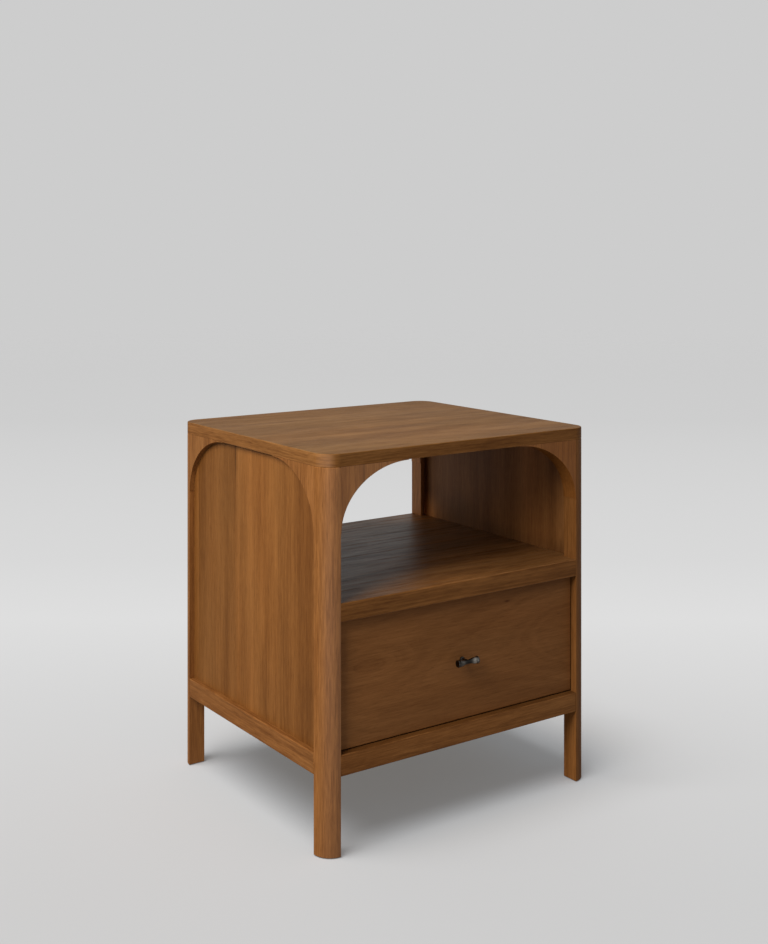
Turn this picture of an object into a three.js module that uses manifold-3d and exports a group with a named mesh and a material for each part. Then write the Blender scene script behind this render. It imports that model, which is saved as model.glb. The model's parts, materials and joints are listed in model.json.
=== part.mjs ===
// Bedside cabinet: four quarter-round posts carry a top panel, an open arched
// compartment sits over one inset drawer, and the drawer runs on a pair of
// full-extension ball-bearing slides.
//
// Millimetres, +Z up, the front faces -Y and +X is to the right of someone
// standing in front. The origin is on the floor, under the centre of the
// overall box (frame plus the drawer pull).

import * as THREE from "three";
import { mergeVertices } from "three/addons/utils/BufferGeometryUtils.js";
import Module from "manifold-3d";

// ---------------------------------------------------------------- dimensions
const WIDTH = 538; // overall width of the frame
const DEPTH = 462; // overall depth of the frame, without the pull
const HEIGHT = 600; // floor to the top surface
const PULL_OVERHANG = 9.5; // the pull stands this far in front of the frame

const TOP_THICKNESS = 20;
const POST = 29.5; // side of a post, and the radius of its outer corner
const EASE = 1; // eased edge on posts, rails, shelf and drawer front
const FINE_EASE = 0.75; // eased edge on battens and drawer box

const SIDE_RECESS = 9.75; // side and back panels behind the outer face of the frame
const PANEL = 6.5; // thickness of the side panels and the back panel
const GROOVE = 8; // depth of the grooves that hold them
const FIT = 0.5; // clearance of a panel in its groove

const RAIL_BOTTOM = 119.75;
const RAIL_TOP = 152.25;
const RAIL_THICKNESS = 22;
const DUST_Z = 128; // underside of the dust panel
const DUST_THICKNESS = 6;
const DUST_GROOVE = 6; // depth of the dust panel groove in the rails

const SHELF_BOTTOM = 348.75;
const SHELF_TOP = 377.25;
const SHELF_GROOVE = 6; // depth of the groove under the shelf, above the back panel

const FRONT_RECESS = 11.25; // drawer front behind the face of the frame
const FRONT_GAP = 1.5; // gap around the drawer front
const FRONT_THICKNESS = 20;

const SLIDE_THICKNESS = 12.75;
const SLIDE_LENGTH = 400;
const SLIDE_SETBACK = 1; // slides start this far behind the drawer front
const SLIDE_Z = 220; // centre line of the slides
const SLIDE_SCREW_INSET = 37; // end of a slide to its nearest screw
const BATTEN_HEIGHT = 60;

const BOX_WALL = 12; // drawer box sides, front and back
const BOX_BOTTOM = 168; // lower edge of the drawer box
const BOX_HEIGHT = 140;
const BOX_LENGTH = 400;
const BASE_Z = 176; // underside of the drawer bottom
const BASE_THICKNESS = 6;
const BASE_GROOVE = 5; // depth of the groove for the drawer bottom

const PULL_Z = 248.5; // height of the pull and of the drawer front screws

const OVERCUT = 5; // how far a cutting tool runs past the surface it cuts

// ------------------------------------------------------------ derived planes
const X_OUT = WIDTH / 2; // outer side plane
const X_IN = X_OUT - POST; // inner side of the posts
const Y_FRONT = -(DEPTH + PULL_OVERHANG) / 2 + PULL_OVERHANG;
const Y_BACK = Y_FRONT + DEPTH;
const FRONT_POST_Y = Y_FRONT + POST; // back of the front posts
const BACK_POST_Y = Y_BACK - POST; // front of the back posts
const FRAME_TOP = HEIGHT - TOP_THICKNESS; // underside of the top panel
const SIDE_OUT = X_OUT - SIDE_RECESS; // outer face of a side panel
const SIDE_IN = SIDE_OUT - PANEL; // inner face of a side panel
const BACK_Y1 = Y_BACK - SIDE_RECESS; // rear face of the back panel
const BACK_Y0 = BACK_Y1 - PANEL; // front face of the back panel
const PANEL_SEAT = RAIL_TOP - GROOVE; // floor of the panel grooves in the rails
const FACE_Y0 = Y_FRONT + FRONT_RECESS; // face of the drawer front
const FACE_Y1 = FACE_Y0 + FRONT_THICKNESS; // back of the drawer front
const SLIDE_Y0 = FACE_Y1 + SLIDE_SETBACK; // front end of the slides
const SLIDE_Y1 = SLIDE_Y0 + SLIDE_LENGTH;
const BOX_X = X_IN - SLIDE_THICKNESS; // outer face of a drawer side
const BOX_IN_X = BOX_X - BOX_WALL; // inner face of a drawer side
const BOX_FRONT_Y = FACE_Y1 + BOX_WALL; // inner face of the box front
const BOX_Y1 = FACE_Y1 + BOX_LENGTH; // rear of the drawer box
const BOX_BACK_Y = BOX_Y1 - BOX_WALL; // inner face of the box back

// ----------------------------------------------------------------- materials
const material = (color, { roughness = 0.5, metalness = 0 } = {}) =>
  new THREE.MeshStandardMaterial({ color, roughness, metalness });
const MAT = {
  top: material("#86633f"),
  frame: material("#8a5a33"),
  panel: material("#84552c"),
  shelf: material("#7b5230"),
  front: material("#71492a"),
  lining: material("#a57b4e", { roughness: 0.6 }),
  ply: material("#b08c5e", { roughness: 0.65 }),
  steel: material("#b9bcc0", { roughness: 0.32, metalness: 1 }),
  screw: material("#9ea2a6", { roughness: 0.3, metalness: 1 }),
  bronze: material("#2b2724", { roughness: 0.38, metalness: 0.9 }),
  nylon: material("#3a3632", { roughness: 0.6 }),
};

// -------------------------------------------------------------------- solids
const wasm = await Module();
wasm.setup();

// A closed geometry as a solid that can be joined and cut.
function solid(geometry) {
  const loose = geometry.index ? geometry.toNonIndexed() : geometry;
  loose.deleteAttribute("normal");
  loose.deleteAttribute("uv");
  const merged = mergeVertices(loose, 1e-4);
  return new wasm.Manifold(
    new wasm.Mesh({
      numProp: 3,
      vertProperties: new Float32Array(merged.attributes.position.array),
      triVerts: new Uint32Array(merged.index.array),
    }),
  );
}

function geometryOf(body) {
  const mesh = body.getMesh();
  const positions = new Float32Array(mesh.vertProperties);
  const geometry = new THREE.BufferGeometry();
  geometry.setAttribute("position", new THREE.BufferAttribute(positions, 3));
  geometry.setIndex(new THREE.BufferAttribute(new Uint32Array(mesh.triVerts), 1));
  return geometry;
}

const cut = (body, ...tools) => tools.reduce((rest, tool) => rest.subtract(tool), body);

const basis = (...axes) =>
  new THREE.Matrix4().makeBasis(...axes.map((axis) => new THREE.Vector3(...axis)));

// How the sketch plane (u, v) and the extrusion direction lie in space.
const ALONG = {
  x: basis([0, 1, 0], [0, 0, 1], [1, 0, 0]), // sketch (Y, Z)
  y: basis([1, 0, 0], [0, 0, 1], [0, -1, 0]), // sketch (X, Z), extruded to -Y
  z: basis([1, 0, 0], [0, 1, 0], [0, 0, 1]), // sketch (X, Y)
};

// Turns the lathe axis, +Y, to each direction.
const TOWARDS = {
  "+x": basis([0, 1, 0], [1, 0, 0], [0, 0, -1]),
  "-x": basis([0, 1, 0], [-1, 0, 0], [0, 0, 1]),
  "+y": basis([1, 0, 0], [0, 1, 0], [0, 0, 1]),
  "-y": basis([1, 0, 0], [0, -1, 0], [0, 0, -1]),
  "+z": basis([1, 0, 0], [0, 0, 1], [0, -1, 0]),
};

function block(x0, x1, y0, y1, z0, z1) {
  const geometry = new THREE.BoxGeometry(x1 - x0, y1 - y0, z1 - z0);
  geometry.translate((x0 + x1) / 2, (y0 + y1) / 2, (z0 + z1) / 2);
  return solid(geometry);
}

// An outline of [u, v] points extruded from `from` to `to` along an axis, with
// both ends bevelled by `ease`.
function prism(outline, axis, from, to, ease = 0, bevelSegments = 1) {
  const shape = new THREE.Shape(outline.map(([u, v]) => new THREE.Vector2(u, v)));
  const geometry = new THREE.ExtrudeGeometry(shape, {
    depth: to - from - 2 * ease,
    steps: 1,
    bevelEnabled: ease > 0,
    bevelThickness: ease,
    bevelSize: ease,
    bevelOffset: -ease,
    bevelSegments,
  });
  geometry.applyMatrix4(ALONG[axis]);
  // along -Y the extrusion starts at the rear plane and runs forwards
  if (axis === "x") geometry.translate(from + ease, 0, 0);
  if (axis === "y") geometry.translate(0, to - ease, 0);
  if (axis === "z") geometry.translate(0, 0, from + ease);
  return solid(geometry);
}

// A board with every edge eased, lying along the x or y axis.
function board(x0, x1, y0, y1, z0, z1, axis, ease = EASE) {
  const [u0, u1, from, to] = axis === "x" ? [y0, y1, x0, x1] : [x0, x1, y0, y1];
  const outline = [
    [u0 + ease, z0],
    [u1 - ease, z0],
    [u1, z0 + ease],
    [u1, z1 - ease],
    [u1 - ease, z1],
    [u0 + ease, z1],
    [u0, z1 - ease],
    [u0, z0 + ease],
  ];
  return prism(outline, axis, from, to, ease);
}

// A turned solid: profile of [radius, height] from axis to axis. `direction` is
// that of increasing height, and the profile's zero sits at `at`.
function turned(profile, direction, at, segments) {
  const make = (points) => {
    const geometry = new THREE.LatheGeometry(
      points.map(([radius, height]) => new THREE.Vector2(radius, height)),
      segments,
    );
    geometry.applyMatrix4(TOWARDS[direction]);
    geometry.translate(...at);
    return solid(geometry);
  };
  // a profile listed the other way round comes out inside out
  const body = make(profile);
  return body.volume() > 0 ? body : make([...profile].reverse());
}

function rod(radius, from, to, direction, at, segments = 16) {
  const profile = [[0, from], [radius, from], [radius, to], [0, to]];
  return turned(profile, direction, at, segments);
}

function ball(radius, x, y, z) {
  const geometry = new THREE.SphereGeometry(radius, 6, 4);
  geometry.translate(x, y, z);
  return solid(geometry);
}

// Points of a quarter turn; `point` maps an angle from 0 to 90 degrees.
const quarterTurn = (steps, point) =>
  Array.from({ length: steps + 1 }, (_, i) => point((i / steps) * (Math.PI / 2)));

// --------------------------------------------------------------- scene graph
const cabinet = new THREE.Group();
cabinet.name = "bedside_cabinet";
const carcass = new THREE.Group();
const drawer = new THREE.Group();
const slides = new THREE.Group();
cabinet.add(carcass, drawer, slides);

// Each piece is drawn about its own centre, to the nearest quarter millimetre,
// and then put in its place.
function place(group, name, body, pieceMaterial) {
  const geometry = geometryOf(body);
  geometry.computeBoundingBox();
  const centre = geometry.boundingBox.getCenter(new THREE.Vector3());
  centre.multiplyScalar(4).round().divideScalar(4);
  geometry.translate(-centre.x, -centre.y, -centre.z);
  geometry.computeVertexNormals();
  const mesh = new THREE.Mesh(geometry, pieceMaterial);
  mesh.name = name;
  mesh.position.copy(centre);
  group.add(mesh);
}

// Name and sign of x on the left and right
const SIDES = [["l", -1], ["r", 1]];
// Name and sign of the outward y direction at the front and back
const ENDS = [["f", -1], ["b", 1]];

// The x range where |x| runs from a to b on one side of the cabinet
const span = (side, a, b) => (side > 0 ? [a, b] : [-b, -a]);
const inward = (side) => (side > 0 ? "-x" : "+x");
const outward = (side) => (side > 0 ? "+x" : "-x");

// ----------------------------------------------------------------- top panel
const TOP_EASE = 1.5; // upper edge, in two facets
const TOP_UNDER_EASE = 0.5; // lower edge, where it meets the frame

function addTopPanel() {
  const corner = (centreX, centreY, start) =>
    quarterTurn(12, (angle) => [
      centreX + POST * Math.cos(start + angle),
      centreY + POST * Math.sin(start + angle),
    ]);
  const outline = [
    ...corner(X_IN, FRONT_POST_Y, -Math.PI / 2),
    ...corner(X_IN, BACK_POST_Y, 0),
    ...corner(-X_IN, BACK_POST_Y, Math.PI / 2),
    ...corner(-X_IN, FRONT_POST_Y, Math.PI),
  ];
  // two overlapping layers, so that each edge has its own ease
  const lower = prism(outline, "z", FRAME_TOP, FRAME_TOP + TOP_THICKNESS / 2, TOP_UNDER_EASE);
  const upper = prism(outline, "z", FRAME_TOP + TOP_THICKNESS / 4, HEIGHT, TOP_EASE, 2);
  place(carcass, "top_panel", lower.add(upper), MAT.top);
}

// ---------------------------------------------------------- posts and glides
const GLIDE_HEIGHT = 0.75; // how far a nylon glide stands out of each foot
const GLIDE_SEAT = 1.75; // depth of the seat it is let into
const GLIDE_SEAT_RADIUS = 9.25;
const GLIDE_INSET = 12.5; // inner faces of a post to the centre of its glide
const GLIDE_BORE = { radius: 2.25, depth: 16 };
const GLIDE_PROFILE = [ // [radius, height above the floor]
  [0, 0],
  [8, 0],
  [9, 0.5],
  [9, GLIDE_HEIGHT + GLIDE_SEAT],
  [2, GLIDE_HEIGHT + GLIDE_SEAT],
  [2, 12],
  [0, 14],
];
// Recess in a rear post above the shelf, beside the inner face of the side panel
const POST_RECESS = { width: 10.75, depth: 6 };

function addPost(sideName, side, endName, end) {
  const innerY = end < 0 ? FRONT_POST_Y : BACK_POST_Y; // towards the cabinet middle
  const outline = [
    [side * X_IN, innerY],
    ...quarterTurn(12, (angle) => [
      side * (X_IN + POST * Math.cos(angle)),
      innerY + end * POST * Math.sin(angle),
    ]),
  ];
  // y range of a cut sunk into the inner face
  const sunk = (depth) =>
    end < 0 ? [innerY - depth, innerY + OVERCUT] : [innerY - OVERCUT, innerY + depth];
  const glideX = side * (X_IN + GLIDE_INSET);
  const glideY = innerY + end * GLIDE_INSET;
  const foot = [glideX, glideY, GLIDE_HEIGHT];
  const panelX = span(side, SIDE_IN, SIDE_OUT);

  let post = cut(
    prism(outline, "z", GLIDE_HEIGHT, FRAME_TOP, EASE),
    block(...panelX, ...sunk(GROOVE), PANEL_SEAT, FRAME_TOP + OVERCUT),
    rod(GLIDE_BORE.radius, -OVERCUT, GLIDE_BORE.depth, "+z", foot),
    rod(GLIDE_SEAT_RADIUS, -OVERCUT, GLIDE_SEAT, "+z", foot, 24),
  );
  if (end > 0) {
    const backX = span(side, X_IN - OVERCUT, X_IN + GROOVE);
    const recessX = span(side, SIDE_IN - POST_RECESS.width, SIDE_IN);
    post = cut(
      post,
      // groove for the back panel
      block(...backX, BACK_Y0, BACK_Y1, PANEL_SEAT, SHELF_BOTTOM + SHELF_GROOVE),
      block(...recessX, ...sunk(POST_RECESS.depth), SHELF_TOP, FRAME_TOP + OVERCUT),
    );
  }
  place(carcass, `post_${endName}${sideName}`, post, MAT.frame);

  const glide = turned(GLIDE_PROFILE, "+z", [glideX, glideY, 0], 20);
  place(carcass, `glide_${endName}${sideName}`, glide, MAT.nylon);
}

// ------------------------------------------------------------ arch brackets
const ARCH_DROP = 100; // height of the arch below the top panel
const ARCH_RUN_FRONT = 126; // reach of a front or back arch bracket
const ARCH_RUN_SIDE = 120; // reach of a side arch bracket
const ARCH_TIP = 0.75; // thickness left at the feather ends of a bracket

// The outline of a spandrel: corner at (u, FRAME_TOP), reaching `run` in the
// direction given by `sign`.
function spandrel(u, sign, run) {
  const arch = quarterTurn(20, (turn) => {
    const angle = Math.PI / 2 - turn;
    return [
      u + sign * (run - (run - ARCH_TIP) * Math.cos(angle)),
      FRAME_TOP - ARCH_DROP + (ARCH_DROP - ARCH_TIP) * Math.sin(angle),
    ];
  });
  return [[u, FRAME_TOP], [u + sign * run, FRAME_TOP], ...arch, [u, FRAME_TOP - ARCH_DROP]];
}

function addBrackets(sideName, side) {
  const add = (name, ...shape) =>
    place(carcass, `bracket_${name}`, prism(...shape), MAT.frame);
  const across = spandrel(side * X_IN, -side, ARCH_RUN_FRONT);
  add(`front_${sideName}`, across, "y", Y_FRONT, FRONT_POST_Y);
  add(`back_${sideName}`, across, "y", BACK_POST_Y, Y_BACK);
  const sideX = span(side, SIDE_OUT, X_OUT);
  add(`side_${sideName}f`, spandrel(FRONT_POST_Y, 1, ARCH_RUN_SIDE), "x", ...sideX);
  add(`side_${sideName}b`, spandrel(BACK_POST_Y, -1, ARCH_RUN_SIDE), "x", ...sideX);
}

// --------------------------------------------- panels, rails and dust panel
const DUST_X = X_OUT - RAIL_THICKNESS + DUST_GROOVE;
const DUST_Y0 = Y_FRONT + RAIL_THICKNESS - DUST_GROOVE;
const DUST_Y1 = Y_BACK - RAIL_THICKNESS + DUST_GROOVE;

// The dust panel's space, drawn in by `clearance` on all four edges
const dustBlock = (clearance) =>
  block(
    -DUST_X + clearance,
    DUST_X - clearance,
    DUST_Y0 + clearance,
    DUST_Y1 - clearance,
    DUST_Z,
    DUST_Z + DUST_THICKNESS,
  );

function addSidePanel(sideName, side) {
  const y0 = FRONT_POST_Y - GROOVE + FIT;
  const y1 = BACK_POST_Y + GROOVE - FIT;
  const panel = block(...span(side, SIDE_IN, SIDE_OUT), y0, y1, PANEL_SEAT + FIT, FRAME_TOP);
  place(carcass, `side_panel_${sideName}`, panel, MAT.panel);
}

function addSideRail(sideName, side) {
  const railX = span(side, X_OUT - RAIL_THICKNESS, X_OUT);
  const rail = cut(
    board(...railX, FRONT_POST_Y, BACK_POST_Y, RAIL_BOTTOM, RAIL_TOP, "y"),
    block(
      ...span(side, SIDE_IN, SIDE_OUT),
      FRONT_POST_Y - OVERCUT,
      BACK_POST_Y + OVERCUT,
      PANEL_SEAT,
      RAIL_TOP + OVERCUT,
    ),
    dustBlock(0),
  );
  place(carcass, `side_rail_${sideName}`, rail, MAT.frame);
}

function addCrossRails() {
  const rail = (y0, y1) =>
    cut(board(-X_IN, X_IN, y0, y1, RAIL_BOTTOM, RAIL_TOP, "x"), dustBlock(0));
  const grooveX = X_IN + OVERCUT;
  const groove = block(-grooveX, grooveX, BACK_Y0, BACK_Y1, PANEL_SEAT, RAIL_TOP + OVERCUT);
  place(carcass, "front_rail", rail(Y_FRONT, Y_FRONT + RAIL_THICKNESS), MAT.frame);
  place(carcass, "back_rail", cut(rail(Y_BACK - RAIL_THICKNESS, Y_BACK), groove), MAT.frame);
}

// Corner cut-outs where a board between z0 and z1 passes the four posts
const postCorners = (clearance, z0, z1) =>
  SIDES.flatMap(([, side]) => {
    const x = span(side, X_IN - clearance, X_OUT + OVERCUT);
    const z = [z0 - OVERCUT, z1 + OVERCUT];
    return [
      block(...x, Y_FRONT - OVERCUT, FRONT_POST_Y + clearance, ...z),
      block(...x, BACK_POST_Y - clearance, Y_BACK + OVERCUT, ...z),
    ];
  });

function addDustPanel() {
  const corners = postCorners(FIT, DUST_Z, DUST_Z + DUST_THICKNESS);
  place(carcass, "dust_panel", cut(dustBlock(FIT), ...corners), MAT.ply);
}

function addShelf() {
  const grooveZ = [SHELF_BOTTOM - OVERCUT, SHELF_BOTTOM + SHELF_GROOVE];
  const shelf = cut(
    board(-SIDE_IN, SIDE_IN, Y_FRONT, Y_BACK, SHELF_BOTTOM, SHELF_TOP, "x"),
    ...postCorners(0, SHELF_BOTTOM, SHELF_TOP),
    block(-X_IN, X_IN, BACK_Y0, BACK_Y1, ...grooveZ),
  );
  place(carcass, "shelf", shelf, MAT.shelf);
}

function addBackPanel() {
  const x = X_IN + GROOVE - FIT;
  const panel = block(-x, x, BACK_Y0, BACK_Y1, PANEL_SEAT + FIT, SHELF_BOTTOM);
  place(carcass, "back_panel", panel, MAT.panel);
}

// --------------------------------------------------------- battens and slides
// Slide sections are in [u, z]: u runs from the cabinet side (0) to the drawer
// side (SLIDE_THICKNESS), and z from the centre line of the slide.
const OUTER_SECTION = [
  [0, -22.5], [10, -22.5], [10, -20.5], [9, -20.5], [9, -21.25], [1.25, -21.25],
  [1.25, 21.25], [9, 21.25], [9, 20.5], [10, 20.5], [10, 22.5], [0, 22.5],
];
const SLIDE_WALL = 1.25; // sheet thickness of the middle and inner members
const MIDDLE_SECTION = channel({ web: 3, lip: 10.25, halfHeight: 17, wall: SLIDE_WALL });
const INNER_SECTION = channel({
  web: SLIDE_THICKNESS,
  lip: 6,
  halfHeight: 11.75,
  wall: SLIDE_WALL,
});

// Ball retainers: a folded strip that carries two rows of balls
const CAGE_LENGTH = 160;
const CAGE_WALL = 0.75;
const CAGE_BALLS = 5; // balls in a row
const BALL_INSET = 12; // end of the cage to the first ball
const BALL_PITCH = (CAGE_LENGTH - 2 * BALL_INSET) / (CAGE_BALLS - 1);
const OUTER_CAGE = { web: 1.75, lip: 9.25, halfHeight: 19.5, ballRadius: 1.75, ballU: 6.5 };
const INNER_CAGE = { web: 4.75, lip: 10.5, halfHeight: 14.125, ballRadius: 1.625, ballU: 8 };

// Screws: [radius, height], with zero at the face the slide is fixed to
const SCREW_Y = [SLIDE_Y0 + SLIDE_SCREW_INSET, SLIDE_Y1 - SLIDE_SCREW_INSET];
const OUTER_SCREW = [[0, 1.25], [3.25, 1.25], [3.25, 0], [1.5, 0], [1.5, -8], [0, -10]];
const INNER_SCREW = [[0, 3.25], [2.5, 3], [3.25, 1.25], [1.5, 1.25], [1.5, -6], [0, -8]];
const PILOT_RADIUS = 1.75; // screw holes in the wood
const BATTEN_PILOT_DEPTH = 11;
const BOX_PILOT_DEPTH = 9;
const OUTER_HOLE_RADIUS = 3.5; // screw holes in the slide members
const INNER_HOLE_RADIUS = 2;

// A C-shaped section: `web` and `lip` are the u of the back of the web and of
// the flange edges.
function channel({ web, lip, halfHeight, wall }) {
  const webInside = web + Math.sign(lip - web) * wall;
  const flangeInside = halfHeight - wall;
  return [
    [web, -halfHeight],
    [lip, -halfHeight],
    [lip, -flangeInside],
    [webInside, -flangeInside],
    [webInside, flangeInside],
    [lip, flangeInside],
    [lip, halfHeight],
    [web, halfHeight],
  ];
}

const slideX = (side, u) => side * (X_IN - u);

const slideBar = (side, section, y0 = SLIDE_Y0, y1 = SLIDE_Y1) =>
  prism(section.map(([u, z]) => [slideX(side, u), SLIDE_Z + z]), "y", y0, y1);

const slideHoles = ({ x, direction, radius, depth = OVERCUT, segments = 12 }) =>
  SCREW_Y.map((y) => rod(radius, -depth, OVERCUT, direction, [x, y, SLIDE_Z], segments));

function addSlideScrews(group, name, profile, direction, x) {
  SCREW_Y.forEach((y, i) => {
    const screw = turned(profile, direction, [x, y, SLIDE_Z], 12);
    place(group, `slide_screw_${name}${i + 1}`, screw, MAT.screw);
  });
}

function addBatten(sideName, side) {
  const batten = board(
    ...span(side, X_IN, SIDE_IN),
    FRONT_POST_Y,
    BACK_POST_Y,
    SLIDE_Z - BATTEN_HEIGHT / 2,
    SLIDE_Z + BATTEN_HEIGHT / 2,
    "y",
    FINE_EASE,
  );
  const holes = slideHoles({
    x: side * X_IN,
    direction: inward(side),
    radius: PILOT_RADIUS,
    depth: BATTEN_PILOT_DEPTH,
  });
  place(carcass, `batten_${sideName}`, cut(batten, ...holes), MAT.lining);
}

// The member fixed to the batten
function addOuterSlide(sideName, side) {
  const x = side * X_IN;
  const direction = inward(side);
  const holes = slideHoles({ x, direction, radius: OUTER_HOLE_RADIUS, segments: 16 });
  const member = cut(slideBar(side, OUTER_SECTION), ...holes);
  place(carcass, `slide_outer_${sideName}`, member, MAT.steel);
  addSlideScrews(carcass, `outer_${sideName}`, OUTER_SCREW, direction, x);
}

function addCage(name, side, { ballRadius, ballU, ...strip }) {
  const y0 = (SLIDE_Y0 + SLIDE_Y1 - CAGE_LENGTH) / 2;
  const ballZ = strip.halfHeight - CAGE_WALL / 2; // mid-thickness of a flange
  let cage = slideBar(side, channel({ ...strip, wall: CAGE_WALL }), y0, y0 + CAGE_LENGTH);
  for (let i = 0; i < CAGE_BALLS; i++) {
    const y = y0 + BALL_INSET + i * BALL_PITCH;
    for (const row of [-1, 1])
      cage = cage.add(ball(ballRadius, slideX(side, ballU), y, SLIDE_Z + row * ballZ));
  }
  place(slides, name, cage, MAT.steel);
}

// The member fixed to the drawer side
function addInnerSlide(sideName, side) {
  const x = side * BOX_X;
  const holes = slideHoles({ x, direction: inward(side), radius: INNER_HOLE_RADIUS });
  const member = cut(slideBar(side, INNER_SECTION), ...holes);
  place(drawer, `slide_inner_${sideName}`, member, MAT.steel);
  addSlideScrews(drawer, `inner_${sideName}`, INNER_SCREW, outward(side), x);
}

// -------------------------------------------------------------------- drawer
const BOX_Z = [BOX_BOTTOM, BOX_BOTTOM + BOX_HEIGHT];
const BASE_SPAN = [BASE_Z, BASE_Z + BASE_THICKNESS];

const PULL_BORE_RADIUS = 2.25;
const FRONT_SCREW_X = 150; // screws through the box front into the drawer front
const FRONT_SCREW_BORE = { radius: 2, depth: 15 }; // depth in the drawer front
const FRONT_SCREW = [ // [radius, height in front of the box front's inner face]
  [0, -2.25], [2.75, -2], [3.5, 0], [1.75, 0], [1.75, 22], [0, 24],
];

const frontScrewAt = (side) => [side * FRONT_SCREW_X, BOX_FRONT_Y, PULL_Z];

// Bores for both front screws, reaching `depth` beyond the box front
const frontScrewBores = (depth) =>
  SIDES.map(([, side]) =>
    rod(FRONT_SCREW_BORE.radius, -OVERCUT, BOX_WALL + depth, "-y", frontScrewAt(side), 12),
  );

const pullBore = (y, thickness) =>
  rod(PULL_BORE_RADIUS, -OVERCUT, thickness + OVERCUT, "+y", [0, y, PULL_Z]);

function addDrawerSide(sideName, side) {
  const grooveX = span(side, BOX_IN_X - OVERCUT, BOX_IN_X + BASE_GROOVE);
  const wall = cut(
    board(...span(side, BOX_IN_X, BOX_X), FACE_Y1, BOX_Y1, ...BOX_Z, "y", FINE_EASE),
    block(...grooveX, FACE_Y1 - OVERCUT, BOX_Y1 + OVERCUT, ...BASE_SPAN),
    ...slideHoles({
      x: side * BOX_X,
      direction: outward(side),
      radius: PILOT_RADIUS,
      depth: BOX_PILOT_DEPTH,
    }),
  );
  place(drawer, `drawer_side_${sideName}`, wall, MAT.lining);
}

function addDrawerFront() {
  const x = X_IN - FRONT_GAP;
  const z = [RAIL_TOP + FRONT_GAP, SHELF_BOTTOM - FRONT_GAP];
  const front = cut(
    board(-x, x, FACE_Y0, FACE_Y1, ...z, "x"),
    pullBore(FACE_Y0, FRONT_THICKNESS),
    ...frontScrewBores(FRONT_SCREW_BORE.depth),
  );
  place(drawer, "drawer_front", front, MAT.front);
}

// The box front or back, grooved for the drawer bottom in its inner face
function boxEnd(y0, y1, innerY) {
  const x = BOX_IN_X + OVERCUT;
  // the groove tool stands as far out of the wall as it goes in
  return cut(
    board(-BOX_IN_X, BOX_IN_X, y0, y1, ...BOX_Z, "x", FINE_EASE),
    block(-x, x, innerY - BASE_GROOVE, innerY + BASE_GROOVE, ...BASE_SPAN),
  );
}

function addBoxEnds() {
  const front = cut(
    boxEnd(FACE_Y1, BOX_FRONT_Y, BOX_FRONT_Y),
    pullBore(FACE_Y1, BOX_WALL),
    ...frontScrewBores(OVERCUT),
  );
  place(drawer, "drawer_box_front", front, MAT.lining);
  place(drawer, "drawer_back", boxEnd(BOX_BACK_Y, BOX_Y1, BOX_BACK_Y), MAT.lining);
}

function addDrawerBottom() {
  const letIn = BASE_GROOVE - FIT;
  const x = BOX_IN_X + letIn;
  const bottom = block(-x, x, BOX_FRONT_Y - letIn, BOX_BACK_Y + letIn, ...BASE_SPAN);
  place(drawer, "drawer_bottom", bottom, MAT.ply);
}

function addFrontScrew(sideName, side) {
  const screw = turned(FRONT_SCREW, "-y", frontScrewAt(side), 12);
  place(drawer, `front_screw_${sideName}`, screw, MAT.screw);
}

// ---------------------------------------------------------------------- pull
// A waisted bar on a short turned stem; its screw comes from inside the box.
const PULL_LENGTH = 42;
const PULL_RADIUS = 6;
const PULL_WAIST = 3.5; // radius at the middle of the bar
const PULL_STAND = 14.75; // drawer front to the axis of the bar
const PULL_AT = [0, FACE_Y0 - PULL_STAND, PULL_Z];

// Half of the bar: [depth below PULL_RADIUS, distance from the end]
const BAR_HALF = [
  [PULL_RADIUS, 0], [1.5, 0], [0.5, 0.5], [0, 1.25], [0, 2.25], [0.75, 3], [1.5, 3.5],
  [1.5, 4.25], [0.75, 5], [0.5, 6.5], [1, 9.5], [1.75, 13], [PULL_RADIUS - PULL_WAIST, 17],
];
const BAR_SOCKET = { radius: 2, depth: 10 }; // takes the tenon of the stem
const STEM_BORE_DEPTH = 7;
const STEM_PROFILE = [ // [radius, distance behind the bar axis]
  [0, 0],
  [1.75, 0],
  [1.75, PULL_WAIST],
  [3, PULL_WAIST],
  [3, PULL_STAND - 4],
  [3.25, PULL_STAND - 3],
  [4.25, PULL_STAND - 2.25],
  [4.75, PULL_STAND - 1.5],
  [4.75, PULL_STAND],
  [0, PULL_STAND],
];
const PULL_SCREW = [ // [radius, height in front of the box front's inner face]
  [0, -2.5],
  [3.25, -2.25],
  [4, -1.25],
  [4, 0],
  [2, 0],
  [2, BOX_WALL + FRONT_THICKNESS + 5],
  [0, BOX_WALL + FRONT_THICKNESS + 6],
];

function addPullBar() {
  const half = BAR_HALF.map(([inset, fromEnd]) => [
    PULL_RADIUS - inset,
    PULL_LENGTH / 2 - fromEnd,
  ]);
  const profile = [...half.map(([radius, x]) => [radius, -x]), ...half.reverse()];
  const bar = cut(
    turned(profile, "+x", PULL_AT, 16),
    rod(BAR_SOCKET.radius, 0, BAR_SOCKET.depth, "+y", PULL_AT),
  );
  place(drawer, "pull_bar", bar, MAT.bronze);
}

function addPullStem() {
  const boreStart = PULL_STAND - STEM_BORE_DEPTH;
  const stem = cut(
    turned(STEM_PROFILE, "+y", PULL_AT, 20),
    rod(PULL_BORE_RADIUS, boreStart, PULL_STAND + OVERCUT, "+y", PULL_AT),
  );
  place(drawer, "pull_stem", stem, MAT.bronze);
}

function addPullScrew() {
  const screw = turned(PULL_SCREW, "-y", [0, BOX_FRONT_Y, PULL_Z], 16);
  place(drawer, "pull_screw", screw, MAT.screw);
}

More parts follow.
